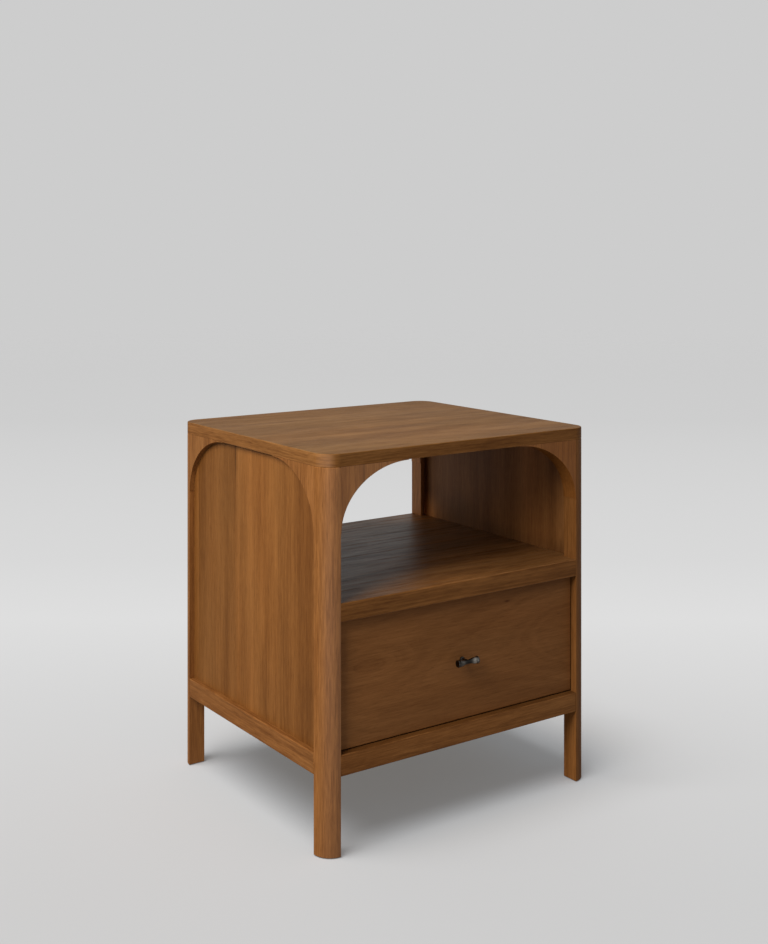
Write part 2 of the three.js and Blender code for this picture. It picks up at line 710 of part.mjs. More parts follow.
// ------------------------------------------------------------------ assembly
addTopPanel();
for (const [sideName, side] of SIDES)
  for (const [endName, end] of ENDS) addPost(sideName, side, endName, end);
for (const [sideName, side] of SIDES) addBrackets(sideName, side);
for (const [sideName, side] of SIDES) {
  addSidePanel(sideName, side);
  addSideRail(sideName, side);
}
addCrossRails();
addDustPanel();
addShelf();
addBackPanel();

for (const [sideName, side] of SIDES) {
  addBatten(sideName, side);
  addOuterSlide(sideName, side);
  place(slides, `slide_middle_${sideName}`, slideBar(side, MIDDLE_SECTION), MAT.steel);
  addCage(`cage_outer_${sideName}`, side, OUTER_CAGE);
  addCage(`cage_inner_${sideName}`, side, INNER_CAGE);
  addInnerSlide(sideName, side);
  addDrawerSide(sideName, side);
}

addDrawerFront();
addBoxEnds();
addDrawerBottom();
for (const [sideName, side] of SIDES) addFrontScrew(sideName, side);
addPullBar();
addPullStem();
addPullScrew();

export default cabinet;
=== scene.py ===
"""Bedside cabinet: fine surfaces, materials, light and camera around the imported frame.

Metres, +Z up, the front faces -Y. Every board is re-cut from its CAD solid with
rounded arrises, the turned and pressed metal is rebuilt at full detail, and all
finishes are procedural.
"""

import json
import math

import bmesh
import bpy
from mathutils import Matrix, Vector
from mathutils.bvhtree import BVHTree

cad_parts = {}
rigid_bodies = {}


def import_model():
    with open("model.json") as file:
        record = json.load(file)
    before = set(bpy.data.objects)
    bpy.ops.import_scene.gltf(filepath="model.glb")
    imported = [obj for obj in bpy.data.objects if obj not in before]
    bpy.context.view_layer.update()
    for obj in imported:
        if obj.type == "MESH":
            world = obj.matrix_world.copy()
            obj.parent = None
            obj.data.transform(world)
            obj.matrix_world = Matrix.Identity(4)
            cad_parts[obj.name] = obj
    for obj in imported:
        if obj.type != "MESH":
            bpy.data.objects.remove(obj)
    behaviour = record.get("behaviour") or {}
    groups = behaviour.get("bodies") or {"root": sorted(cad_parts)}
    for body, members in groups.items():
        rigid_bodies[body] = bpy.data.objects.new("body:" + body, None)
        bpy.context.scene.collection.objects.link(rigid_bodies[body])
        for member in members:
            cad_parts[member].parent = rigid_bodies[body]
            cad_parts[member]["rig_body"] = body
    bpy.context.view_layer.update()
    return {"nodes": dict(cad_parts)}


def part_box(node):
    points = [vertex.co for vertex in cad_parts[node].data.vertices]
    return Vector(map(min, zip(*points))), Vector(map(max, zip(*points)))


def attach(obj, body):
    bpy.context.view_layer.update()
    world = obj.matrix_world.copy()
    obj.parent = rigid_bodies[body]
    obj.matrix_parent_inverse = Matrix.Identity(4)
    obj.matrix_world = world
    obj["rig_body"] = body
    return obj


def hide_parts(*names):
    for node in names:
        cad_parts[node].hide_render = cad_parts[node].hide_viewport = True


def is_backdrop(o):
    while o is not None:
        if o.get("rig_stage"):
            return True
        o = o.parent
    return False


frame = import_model()
NODES = frame["nodes"]
MM = 0.001
scene = bpy.context.scene


# --------------------------------------------------------------- node graphs
class Graph:
    """Short calls for building a node tree."""

    def __init__(self, tree):
        self.tree = tree
        self.count = 0

    def node(self, kind, **props):
        n = self.tree.nodes.new(kind)
        n.location = (190 * (self.count % 12), -230 * (self.count // 12))
        self.count += 1
        for key, value in props.items():
            setattr(n, key, value)
        return n

    def put(self, socket, value):
        if value is None:
            return
        if isinstance(value, bpy.types.NodeSocket):
            self.tree.links.new(value, socket)
        else:
            socket.default_value = value

    def math(self, op, a, b=None, c=None, clamp=False):
        n = self.node("ShaderNodeMath", operation=op, use_clamp=clamp)
        for socket, value in zip(n.inputs, (a, b, c)):
            self.put(socket, value)
        return n.outputs[0]

    def add(self, *terms):
        total = terms[0]
        for t in terms[1:]:
            total = self.math("ADD", total, t)
        return total

    def mul(self, a, b):
        return self.math("MULTIPLY", a, b)

    def split(self, vector):
        n = self.node("ShaderNodeSeparateXYZ")
        self.put(n.inputs[0], vector)
        return n.outputs[0], n.outputs[1], n.outputs[2]

    def vec(self, x, y, z):
        n = self.node("ShaderNodeCombineXYZ")
        for socket, value in zip(n.inputs, (x, y, z)):
            self.put(socket, value)
        return n.outputs[0]

    def scaled(self, x, y, z, kx, ky, kz, seed=None, sx=0.0):
        """A lookup point (x*kx, y*ky, z*kz), moved along x by the seed."""
        px = self.mul(x, kx)
        if seed is not None:
            px = self.math("MULTIPLY_ADD", seed, 3.7 + sx, px)
        return self.vec(px, self.mul(y, ky), self.mul(z, kz))

    def noise(self, vector, scale=1.0, detail=2.0, rough=0.5, w=None, distort=0.0):
        n = self.node("ShaderNodeTexNoise")
        n.noise_dimensions = (
            "1D" if vector is None else ("4D" if w is not None else "3D")
        )
        if vector is not None:
            self.put(n.inputs["Vector"], vector)
        if w is not None:
            self.put(n.inputs["W"], w)
        self.put(n.inputs["Scale"], scale)
        self.put(n.inputs["Detail"], detail)
        self.put(n.inputs["Roughness"], rough)
        self.put(n.inputs["Distortion"], distort)
        return n.outputs[0]

    def remap(self, value, a0, a1, b0, b1, clamp=True, smooth=False):
        n = self.node("ShaderNodeMapRange", clamp=clamp)
        if smooth:
            n.interpolation_type = "SMOOTHSTEP"
        for socket, v in zip(n.inputs, (value, a0, a1, b0, b1)):
            self.put(socket, v)
        return n.outputs[0]

    def signed(self, value, spread=0.22):
        return self.remap(value, 0.5 - spread, 0.5 + spread, -1.0, 1.0, clamp=False)

    def ramp(self, fac, stops, mode="LINEAR"):
        n = self.node("ShaderNodeValToRGB")
        self.put(n.inputs[0], fac)
        n.color_ramp.interpolation = mode
        e = n.color_ramp.elements
        while len(e) < len(stops):
            e.new(0.5)
        for element, (at, colour) in zip(e, stops):
            element.position = at
            element.color = (*colour, 1) if len(colour) == 3 else colour
        return n.outputs[0]

    def mix(self, fac, a, b, blend="MIX"):
        n = self.node("ShaderNodeMix", data_type="RGBA", blend_type=blend)
        self.put(n.inputs[0], fac)
        self.put(n.inputs[6], a)
        self.put(n.inputs[7], b)
        return n.outputs[2]

    def grey(self, value):
        n = self.node("ShaderNodeCombineColor")
        for socket in n.inputs:
            self.put(socket, value)
        return n.outputs[0]

    def bump(self, height, distance, strength=1.0, normal=None):
        n = self.node("ShaderNodeBump")
        n.inputs["Strength"].default_value = strength
        n.inputs["Distance"].default_value = distance
        self.put(n.inputs["Height"], height)
        if normal is not None:
            self.put(n.inputs["Normal"], normal)
        return n.outputs[0]


def group_tree(name, inputs, outputs):
    tree = bpy.data.node_groups.new(name, "ShaderNodeTree")
    for label, kind, value in inputs:
        s = tree.interface.new_socket(name=label, in_out="INPUT", socket_type=kind)
        if value is not None:
            s.default_value = value
    for label, kind in outputs:
        tree.interface.new_socket(name=label, in_out="OUTPUT", socket_type=kind)
    return tree


FLOAT, VECTOR, COLOR = "NodeSocketFloat", "NodeSocketVector", "NodeSocketColor"


def build_wood():
    """Solid timber sawn from a log whose rings follow the grain direction.

    P is in metres: x along the grain, y across the board's width, z through it.
    """
    tree = group_tree(
        "Timber",
        [
            ("P", VECTOR, None),
            ("Seed", FLOAT, 0.0),
            ("Board", FLOAT, 0.12),
            ("Board Offset", FLOAT, 0.0),
            ("Board Contrast", FLOAT, 0.5),
            ("Figure", FLOAT, 0.5),
            ("Ring", FLOAT, 0.35),
            ("Tone", FLOAT, 0.35),
            ("Fibre", FLOAT, 0.3),
            ("Contrast", FLOAT, 0.5),
            ("Tint", COLOR, (0.25, 0.1, 0.03, 1)),
            ("Eye", VECTOR, None),
            ("Eye Amount", FLOAT, 0.0),
            ("Knot", VECTOR, None),
            ("Knot Amount", FLOAT, 0.0),
            ("Streak", FLOAT, 10.0),
            ("Blotch", FLOAT, 0.0),
            ("Roughness", FLOAT, 0.5),
            ("Wear", FLOAT, 0.0),
            ("Shade", FLOAT, 1.0),
        ],
        [("Color", COLOR), ("Roughness", FLOAT), ("Normal", VECTOR)],
    )
    g = Graph(tree)
    i = g.node("NodeGroupInput").outputs
    seed = i["Seed"]
    x, y, z = g.split(i["P"])

    # glued-up boards: each has its own place in its own log
    across = g.math("DIVIDE", g.math("SUBTRACT", y, i["Board Offset"]), i["Board"])
    index = g.math("FLOOR", across)
    local = g.mul(
        g.math("SUBTRACT", g.math("SUBTRACT", across, index), 0.5), i["Board"]
    )
    dice = g.node("ShaderNodeTexWhiteNoise", noise_dimensions="2D")
    g.put(dice.inputs["Vector"], g.vec(index, seed, 0.0))
    r1, r2, r3 = g.split(dice.outputs["Color"])
    dice2 = g.node("ShaderNodeTexWhiteNoise", noise_dimensions="2D")
    g.put(dice2.inputs["Vector"], g.vec(g.math("ADD", index, 31.0), seed, 0.0))
    r4, r5, _ = g.split(dice2.outputs["Color"])
    own = g.math("MULTIPLY_ADD", index, 1.37, seed)

    # slow wander of the grain
    w1 = g.signed(g.noise(g.scaled(x, y, z, 1.7, 5, 5, own, 0.3), detail=1.0))
    w2 = g.signed(g.noise(g.scaled(x, y, z, 4.5, 11, 11, own, 1.9), detail=1.0))
    w3 = g.signed(g.noise(g.scaled(x, y, z, 14, 60, 60, own, 5.1), detail=1.0))
    wander = g.add(g.mul(w1, 0.008), g.mul(w2, 0.003), g.mul(w3, 0.0006))

    # distance to the pith; a flat-sawn board passes close over it
    plain = g.math("SUBTRACT", 1.0, i["Figure"])
    side = g.math("MULTIPLY_ADD", g.math("SUBTRACT", r1, 0.5), 0.07, 0.0)
    side = g.add(side, g.mul(plain, 0.16))
    a = g.add(local, side, wander)
    tilt = g.math("MULTIPLY_ADD", g.math("SUBTRACT", r2, 0.5), 0.1, 0.03)
    b = g.add(
        g.math("MULTIPLY_ADD", r3, 0.03, 0.014),
        z,
        g.mul(g.mul(tilt, i["Figure"]), x),
        g.mul(w2, 0.004),
    )
    radius = g.math("SQRT", g.add(g.mul(a, a), g.mul(b, b)))
    ex, ey, _ = g.split(i["Eye"])
    dx = g.mul(g.math("SUBTRACT", x, ex), 1 / 0.075)
    dy = g.mul(g.math("SUBTRACT", y, ey), 1 / 0.024)
    eye = g.math("EXPONENT", g.mul(g.add(g.mul(dx, dx), g.mul(dy, dy)), -1.0))
    radius = g.add(radius, g.mul(g.mul(eye, i["Eye Amount"]), 0.03))

    def band(scale, detail, shift):
        n = g.node("ShaderNodeTexNoise", noise_dimensions="1D")
        g.put(
            n.inputs["W"],
            g.math("MULTIPLY_ADD", radius, scale, g.mul(own, 7.3 + shift)),
        )
        n.inputs["Scale"].default_value = 1.0
        n.inputs["Detail"].default_value = detail
        n.inputs["Roughness"].default_value = 0.55
        return n.outputs[0]

    ring = g.signed(band(170.0, 1.6, 0.0), 0.2)
    wide = g.signed(band(46.0, 1.0, 3.1), 0.2)
    ring = g.add(g.mul(ring, 0.62), g.mul(wide, 0.5))
    # the dark line at each ring's edge
    saw = g.math("FRACT", g.math("MULTIPLY_ADD", radius, 150.0, g.mul(ring, 0.8)))
    line = g.math("POWER", saw, 3.0)

    tone = g.signed(
        g.noise(g.scaled(x, y, z, 1.1, 22, 22, own, 2.2), detail=3.0, rough=0.55)
    )
    mottle = g.signed(g.noise(g.scaled(x, y, z, 5, 12, 12, own, 6.6), detail=3.0))
    bent = g.add(y, g.mul(wander, 0.6))
    streak = g.signed(
        g.noise(
            g.vec(
                g.math("MULTIPLY_ADD", own, 5.3, g.mul(x, 4.2)),
                g.mul(bent, g.mul(i["Streak"], 11.0)),
                g.mul(z, 110.0),
            ),
            detail=3.0,
            rough=0.6,
        )
    )
    blotch = g.signed(
        g.noise(g.scaled(x, y, z, 13, 50, 50, own, 1.1), detail=3.0, rough=0.6)
    )
    fibre = g.signed(
        g.noise(g.scaled(x, y, z, 21, 400, 400, own, 4.4), detail=3.0, rough=0.7)
    )
    fine = g.signed(
        g.noise(g.scaled(x, y, z, 60, 1500, 1500, own, 8.8), detail=2.0, rough=0.6)
    )
    pore_field = g.noise(g.scaled(x, y, z, 55, 1500, 1500, own, 9.9), detail=1.0)
    pore = g.remap(pore_field, 0.62, 0.72, 0.0, 1.0, smooth=True)
    pore = g.mul(pore, g.remap(line, 0.0, 0.6, 0.45, 1.0))

    board = g.math("MULTIPLY_ADD", r4, 2.0, -1.0)
    value = g.add(
        g.mul(board, i["Board Contrast"]),
        g.mul(tone, i["Tone"]),
        g.mul(g.math("SUBTRACT", g.mul(ring, 0.8), g.mul(line, 0.35)), i["Ring"]),
        g.mul(g.add(g.mul(fibre, 0.9), g.mul(streak, 0.42)), i["Fibre"]),
        g.mul(blotch, i["Blotch"]),
        g.mul(mottle, 0.14),
        g.mul(fine, 0.28),
    )
    value = g.math("MULTIPLY_ADD", value, g.mul(i["Contrast"], 0.5), 0.5, clamp=True)

    shade = g.ramp(
        value,
        [
            (0.0, (0.30, 0.265, 0.235)),
            (0.3, (0.47, 0.445, 0.42)),
            (0.5, (0.62, 0.62, 0.62)),
            (0.72, (0.79, 0.82, 0.87)),
            (1.0, (0.97, 1.0, 1.0)),
        ],
    )
    base = g.mix(1.0, i["Tint"], g.grey(g.mul(i["Shade"], 1.6)), "MULTIPLY")
    colour = g.mix(1.0, base, shade, "MULTIPLY")
    # warmer and cooler patches
    warm = g.remap(
        g.noise(g.scaled(x, y, z, 2.3, 8, 8, own, 7.7), detail=2.0),
        0.35,
        0.65,
        0.0,
        1.0,
    )
    colour = g.mix(
        warm,
        g.mix(1.0, colour, (1.015, 0.985, 0.95, 1), "MULTIPLY"),
        g.mix(1.0, colour, (0.99, 1.012, 1.04, 1), "MULTIPLY"),
    )
    colour = g.mix(
        g.mul(pore, 0.42), colour, g.mix(1.0, colour, (0.34, 0.28, 0.24, 1), "MULTIPLY")
    )
    # a pin knot
    kx, ky, _ = g.split(i["Knot"])
    qx = g.mul(g.math("SUBTRACT", x, kx), 1 / 0.0055)
    qy = g.mul(g.math("SUBTRACT", y, ky), 1 / 0.0016)
    knot = g.math("EXPONENT", g.mul(g.add(g.mul(qx, qx), g.mul(qy, qy)), -1.0))
    knot = g.mul(knot, i["Knot Amount"])
    colour = g.mix(knot, colour, g.mix(1.0, colour, (0.3, 0.2, 0.15, 1), "MULTIPLY"))
    # handled arrises: a little paler, and patchy
    patch = g.remap(
        g.noise(g.scaled(x, y, z, 38, 38, 38, seed, 3.3), detail=3.0), 0.38, 0.66, 0, 1
    )
    worn = g.mul(g.mul(i["Wear"], patch), 0.5)
    colour = g.mix(worn, colour, g.mix(1.0, colour, (1.5, 1.55, 1.65, 1), "MULTIPLY"))

    rough = g.add(
        i["Roughness"],
        g.mul(g.math("SUBTRACT", 0.5, value), 0.12),
        g.mul(pore, 0.12),
        g.mul(mottle, 0.03),
        g.mul(worn, -0.06),
    )
    height = g.add(
        g.mul(fibre, 0.30),
        g.mul(fine, 0.22),
        g.mul(pore, -0.9),
        g.mul(line, -0.35),
        g.mul(ring, 0.12),
    )
    normal = g.bump(height, 0.00009, 0.6)
    out = g.node("NodeGroupOutput")
    g.put(out.inputs["Color"], colour)
    g.put(out.inputs["Roughness"], rough)
    g.put(out.inputs["Normal"], normal)
    return tree


TIMBER = build_wood()
SPECULAR = 0.12


def surface(name):
    mat = bpy.data.materials.new(name)
    mat.use_nodes = True
    tree = mat.node_tree
    tree.nodes.clear()
    g = Graph(tree)
    shader = g.node("ShaderNodeBsdfPrincipled")
    out = g.node("ShaderNodeOutputMaterial")
    g.put(out.inputs["Surface"], shader.outputs[0])
    return mat, g, shader.inputs


def grain_point(g, grain, width):
    """Object coordinates turned so that x runs along the grain, or round the rim."""
    coords = g.node("ShaderNodeTexCoord").outputs["Object"]
    xyz = dict(zip("xyz", g.split(coords)))
    if grain == "rim":
        return g.vec(g.math("SUBTRACT", xyz["y"], xyz["x"]), xyz["z"], 0.0)
    rest = next(c for c in "xyz" if c not in (grain, width))
    return g.vec(xyz[grain], xyz[width], xyz[rest])


def wear_value(g):
    n = g.node("ShaderNodeAttribute", attribute_name="wear")
    return n.outputs["Fac"]


def timber(name, grain, width, tint, seed, local=None, specular=None, sheen=None, **more):
    """A timber finish for one piece. `local` gives its own lighter and darker marks: a few are the
    wood's own, most are painted light and shade.
    """
    mat, g, bsdf = surface(name)
    w = g.node("ShaderNodeGroup", node_tree=TIMBER)
    g.put(w.inputs["P"], grain_point(g, grain, width))
    g.put(w.inputs["Seed"], seed)
    g.put(w.inputs["Tint"], (*tint, 1))
    g.put(w.inputs["Wear"], wear_value(g))
    spots = g.split(g.node("ShaderNodeTexCoord").outputs["Object"])
    if local:
        g.put(w.inputs["Shade"], local(g, *spots))
    if callable(specular):
        specular = specular(g, *spots)
    for label, value in more.items():
        g.put(w.inputs[label.replace("_", " ").title()], value)
    g.put(bsdf["Base Color"], w.outputs["Color"])
    g.put(bsdf["Roughness"], w.outputs["Roughness"])
    g.put(bsdf["Normal"], w.outputs["Normal"])
    g.put(bsdf["IOR"], 1.45)
    g.put(bsdf["Specular IOR Level"], SPECULAR if specular is None else specular)
    if sheen:
        g.put(bsdf["Specular Tint"], (*sheen, 1))
    return mat


def plywood(name, grain, width, thick, tint, seed, low, plies=5, thickness=0.006):
    """Rotary-cut face veneer, with the plies showing at the edges."""
    mat, g, bsdf = surface(name)
    coords = g.node("ShaderNodeTexCoord").outputs["Object"]
    xyz = dict(zip("xyz", g.split(coords)))
    w = g.node("ShaderNodeGroup", node_tree=TIMBER)
    g.put(w.inputs["P"], g.vec(xyz[grain], xyz[width], xyz[thick]))
    for label, value in {
        "Seed": seed,
        "Tint": (*tint, 1),
        "Board": 2.0,
        "Board Offset": -1.0,
        "Figure": 0.85,
        "Ring": 0.55,
        "Tone": 0.2,
        "Fibre": 0.2,
        "Contrast": 0.42,
        "Roughness": 0.6,
    }.items():
        g.put(w.inputs[label], value)
    g.put(w.inputs["Wear"], wear_value(g))
    ply = g.math(
        "MULTIPLY", g.math("SUBTRACT", xyz[thick], low), plies / thickness
    )
    odd = g.math("FLOORED_MODULO", g.math("FLOOR", ply), 2.0)
    face = g.split(g.node("ShaderNodeNewGeometry").outputs["Normal"])
    up = g.math("ABSOLUTE", dict(zip("xyz", face))[thick])
    edge = g.remap(up, 0.5, 0.75, 1.0, 0.0)
    line = g.math("ABSOLUTE", g.math("SUBTRACT", g.math("FRACT", ply), 0.5))
    glue = g.remap(line, 0.44, 0.49, 0.0, 1.0)
    dark = g.mix(
        1.0,
        w.outputs["Color"],
        g.mix(odd, (1.12, 1.12, 1.12, 1), (0.66, 0.6, 0.54, 1)),
        "MULTIPLY",
    )
    dark = g.mix(g.mul(glue, 0.6), dark, (0.05, 0.026, 0.012, 1))
    g.put(bsdf["Base Color"], g.mix(edge, w.outputs["Color"], dark))
    g.put(bsdf["Roughness"], g.add(w.outputs["Roughness"], g.mul(edge, 0.12)))
    g.put(bsdf["Normal"], w.outputs["Normal"])
    g.put(bsdf["Specular IOR Level"], SPECULAR)
    return mat


def metal(
    name, colour, rough, grain="y", seed=0.0, brushed=1.0, iridescent=0.0, rub=None
):
    """Plated or patinated metal: drawn lines, cloudy tone and rubbed edges.

    `rub` says where the patina is polished away by handling.
    """
    mat, g, bsdf = surface(name)
    coords = g.node("ShaderNodeTexCoord").outputs["Object"]
    xyz = dict(zip("xyz", g.split(coords)))
    others = [c for c in "xyz" if c != grain]
    lines = g.noise(
        g.scaled(
            xyz[grain], xyz[others[0]], xyz[others[1]], 25, 2600, 2600, seed + 0.1
        ),
        detail=3.0,
        rough=0.6,
    )
    cloud = g.noise(g.scaled(*[xyz[c] for c in "xyz"], 70, 70, 70, seed + 1.3), detail=4.0)
    speck = g.noise(
        g.scaled(*[xyz[c] for c in "xyz"], 900, 900, 900, seed + 2.3), detail=2.0
    )
    base = g.mix(
        g.remap(cloud, 0.3, 0.7, 0.0, 1.0),
        tuple(c * 0.82 for c in colour) + (1,),
        tuple(min(1.0, c * 1.16) for c in colour) + (1,),
    )
    if iridescent:
        base = g.mix(
            g.mul(g.remap(speck, 0.4, 0.65, 0.0, 1.0), iridescent),
            base,
            (0.62, 0.6, 0.42, 1),
        )
    base = g.mix(
        g.mul(wear_value(g), g.remap(speck, 0.35, 0.65, 0.25, 0.9)),
        base,
        tuple(min(1.0, c * 1.7 + 0.09) for c in colour) + (1,),
    )
    bare = 0.0
    if rub:
        bare = g.mul(rub(g, *[xyz[c] for c in "xyz"]), g.remap(cloud, 0.3, 0.62, 0.3, 1.0))
        base = g.mix(bare, base, (0.56, 0.51, 0.45, 1))
    g.put(bsdf["Base Color"], base)
    g.put(bsdf["Metallic"], 1.0)
    g.put(
        bsdf["Roughness"],
        g.add(
            rough,
            g.mul(bare, -0.06),
            g.mul(g.signed(cloud), 0.05),
            g.mul(g.signed(lines), 0.05 * brushed),
        ),
    )
    height = g.add(g.mul(g.signed(lines), 0.5 * brushed), g.mul(g.signed(speck), 0.35))
    g.put(bsdf["Normal"], g.bump(height, 0.00003, 0.6))
    return mat


def moulded(name, colour):
    """Dark moulded nylon with a fine spark-eroded skin."""
    mat, g, bsdf = surface(name)
    coords = g.node("ShaderNodeTexCoord").outputs["Object"]
    x, y, z = g.split(coords)
    grain = g.noise(g.scaled(x, y, z, 1400, 1400, 1400, 0.4), detail=2.0)
    cloud = g.noise(g.scaled(x, y, z, 160, 160, 160, 0.9), detail=3.0)
    g.put(
        bsdf["Base Color"],
        g.mix(
            g.remap(cloud, 0.3, 0.7, 0.0, 1.0),
            tuple(c * 0.8 for c in colour) + (1,),
            tuple(c * 1.35 for c in colour) + (1,),
        ),
    )
    g.put(bsdf["Roughness"], g.math("MULTIPLY_ADD", g.signed(cloud), 0.06, 0.55))
    g.put(bsdf["Normal"], g.bump(grain, 0.00004, 0.7))
    return mat


# -------------------------------------------------------------- fine surfaces
def raw_mesh(source):
    """The vertices and faces of a mesh as a clean bmesh with flat faces joined."""
    bm = bmesh.new()
    verts = [bm.verts.new(v.co) for v in source.vertices]
    for p in source.polygons:
        try:
            bm.faces.new([verts[i] for i in p.vertices])
        except ValueError:
            pass
    bmesh.ops.remove_doubles(bm, verts=bm.verts, dist=2e-6)
    bmesh.ops.dissolve_limit(
        bm,
        angle_limit=math.radians(0.6),
        verts=bm.verts,
        edges=bm.edges,
        use_dissolve_boundaries=False,
    )
    bm.normal_update()
    return bm


def surfaces_around():
    """One tree of every CAD face, with the node each face belongs to."""
    verts, faces, owner = [], [], []
    for name, o in NODES.items():
        base = len(verts)
        verts.extend(v.co.copy() for v in o.data.vertices)
        for p in o.data.polygons:
            faces.append([base + i for i in p.vertices])
            owner.append(name)
    return BVHTree.FromPolygons(verts, faces), owner


TREE, OWNER = surfaces_around()


def covered(node, point, reach):
    """True if another piece's surface lies within reach of the point."""
    for _, _, index, _ in TREE.find_nearest_range(point, reach):
        if OWNER[index] != node:
            return True
    return False


def exposed(edge, node):
    a, b = edge.verts[0].co, edge.verts[1].co
    hidden = sum(covered(node, a.lerp(b, t), 0.0004) for t in (0.1, 0.3, 0.5, 0.7, 0.9))
    return hidden < 3


def finish_mesh(bm, name, node_or_body, replaces=(), smooth=35):
    """Turns a bmesh into a piece that rides on its body."""
    wear = bm.faces.layers.float.get("wear") or bm.faces.layers.float.new("wear")
    del wear
    for f in bm.faces:
        f.smooth = True
    for e in bm.edges:
        e.smooth = not (
            len(e.link_faces) == 2 and e.calc_face_angle(0.0) > math.radians(smooth)
        )
    me = bpy.data.meshes.new(name)
    bm.to_mesh(me)
    bm.free()
    me.validate()
    ob = bpy.data.objects.new(name, me)
    scene.collection.objects.link(ob)
    wn = ob.modifiers.new("Even normals", "WEIGHTED_NORMAL")
    wn.keep_sharp = True
    wn.weight = 60
    for n in replaces:
        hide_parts(n)
    body = NODES[node_or_body]["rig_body"] if node_or_body in NODES else node_or_body
    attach(ob, body)
    return ob


def refine(node, radius=0.6, segments=2, angle=25, shortest=3.0):
    """The CAD solid again, with its open arrises rounded over.

    Arrises that meet a neighbouring piece flush stay crisp, as on a glued joint.
    """
    bm = raw_mesh(NODES[node].data)
    wear = bm.faces.layers.float.new("wear")
    for f in bm.faces:
        n = f.normal
        if max(abs(n.x), abs(n.y), abs(n.z)) < 0.98:
            side = min(e.calc_length() for e in f.edges)
            if side < 2.2 * MM and len(f.verts) == 4:
                f[wear] = 0.8
    picked = [
        e
        for e in bm.edges
        if len(e.link_faces) == 2
        and e.is_convex
        and e.calc_face_angle(0.0) > math.radians(angle)
        and e.calc_length() > shortest * MM
        and exposed(e, node)
    ]
    if picked and radius:
        made = bmesh.ops.bevel(
            bm,
            geom=picked,
            offset=radius * MM,
            offset_type="OFFSET",
            segments=segments,
            profile=0.5,
            affect="EDGES",
            clamp_overlap=True,
            miter_outer="ARC",
        )
        for f in made["faces"]:
            f[wear] = 1.0
    bmesh.ops.remove_doubles(bm, verts=bm.verts, dist=1e-6)
    bmesh.ops.dissolve_degenerate(bm, dist=1e-7, edges=bm.edges)
    bmesh.ops.recalc_face_normals(bm, faces=bm.faces)
    return finish_mesh(bm, node + ".fine", node, [node])


def frame_of(direction):
    """A rotation whose +Z is the direction."""
    z = Vector(direction).normalized()
    ref = Vector((0, 0, 1)) if abs(z.z) < 0.9 else Vector((1, 0, 0))
    x = ref.cross(z).normalized()
    y = z.cross(x)
    return Matrix((x, y, z)).transposed().to_4x4()


def lathe(bm, profile, direction, at, segments=48):
    """Revolves [radius, height] points in mm, from axis to axis."""
    m = Matrix.Translation(Vector(at)) @ frame_of(direction)
    rings = []
    for r, h in profile:
        if r < 1e-6:
            rings.append([bm.verts.new(m @ Vector((0, 0, h * MM)))])
        else:
            rings.append(
                [
                    bm.verts.new(
                        m
                        @ Vector(
                            (
                                r * MM * math.cos(2 * math.pi * k / segments),
                                r * MM * math.sin(2 * math.pi * k / segments),
                                h * MM,
                            )
                        )
                    )
                    for k in range(segments)
                ]
            )
    for a, b in zip(rings, rings[1:]):
        for k in range(segments):
            j = (k + 1) % segments
            if len(a) == 1 and len(b) == 1:
                continue
            if len(a) == 1:
                bm.faces.new((a[0], b[j], b[k]))
            elif len(b) == 1:
                bm.faces.new((a[k], a[j], b[0]))
            else:
                bm.faces.new((a[k], a[j], b[j], b[k]))
    bmesh.ops.recalc_face_normals(bm, faces=bm.faces)


def rounded(points, count=5, keep=()):
    """A smooth curve through [radius, height] points (Catmull-Rom)."""
    out = []
    n = len(points)
    for i in range(n - 1):
        p0 = points[max(i - 1, 0)]
        p1, p2 = points[i], points[i + 1]
        p3 = points[min(i + 2, n - 1)]
        out.append(tuple(p1))
        if i in keep:
            continue
        for k in range(1, count):
            t = k / count
            q = []
            for c in range(2):
                q.append(
                    0.5
                    * (
                        2 * p1[c]
                        + (p2[c] - p0[c]) * t
                        + (2 * p0[c] - 5 * p1[c] + 4 * p2[c] - p3[c]) * t * t
                        + (3 * p1[c] - p0[c] - 3 * p2[c] + p3[c]) * t**3
                    )
                )
            out.append(tuple(q))
    out.append(tuple(points[-1]))
    return out


def cut(ob, cutters):
    """Takes the cutters away from a piece, exactly, and removes them."""
    for c in cutters:
        m = ob.modifiers.new("cut", "BOOLEAN")
        m.operation = "DIFFERENCE"
        m.solver = "EXACT"
        m.object = c
        while ob.modifiers[0] != m:
            bpy.context.view_layer.objects.active = ob
            ob.modifiers.move(ob.modifiers.find(m.name), 0)
        dg = bpy.context.evaluated_depsgraph_get()
        others = [x for x in ob.modifiers if x != m]
        for x in others:
            x.show_viewport = False
        dg.update()
        me = bpy.data.meshes.new_from_object(ob.evaluated_get(dg))
        for x in others:
            x.show_viewport = True
        ob.modifiers.remove(m)
        old, me.name = ob.data, ob.data.name
        ob.data = me
        bpy.data.meshes.remove(old)
        bpy.data.objects.remove(c)


def tool(bm):
    """A hidden cutting solid."""
    me = bpy.data.meshes.new("cutter")
    bmesh.ops.recalc_face_normals(bm, faces=bm.faces)
    bm.to_mesh(me)
    bm.free()
    ob = bpy.data.objects.new("cutter", me)
    scene.collection.objects.link(ob)
    return ob


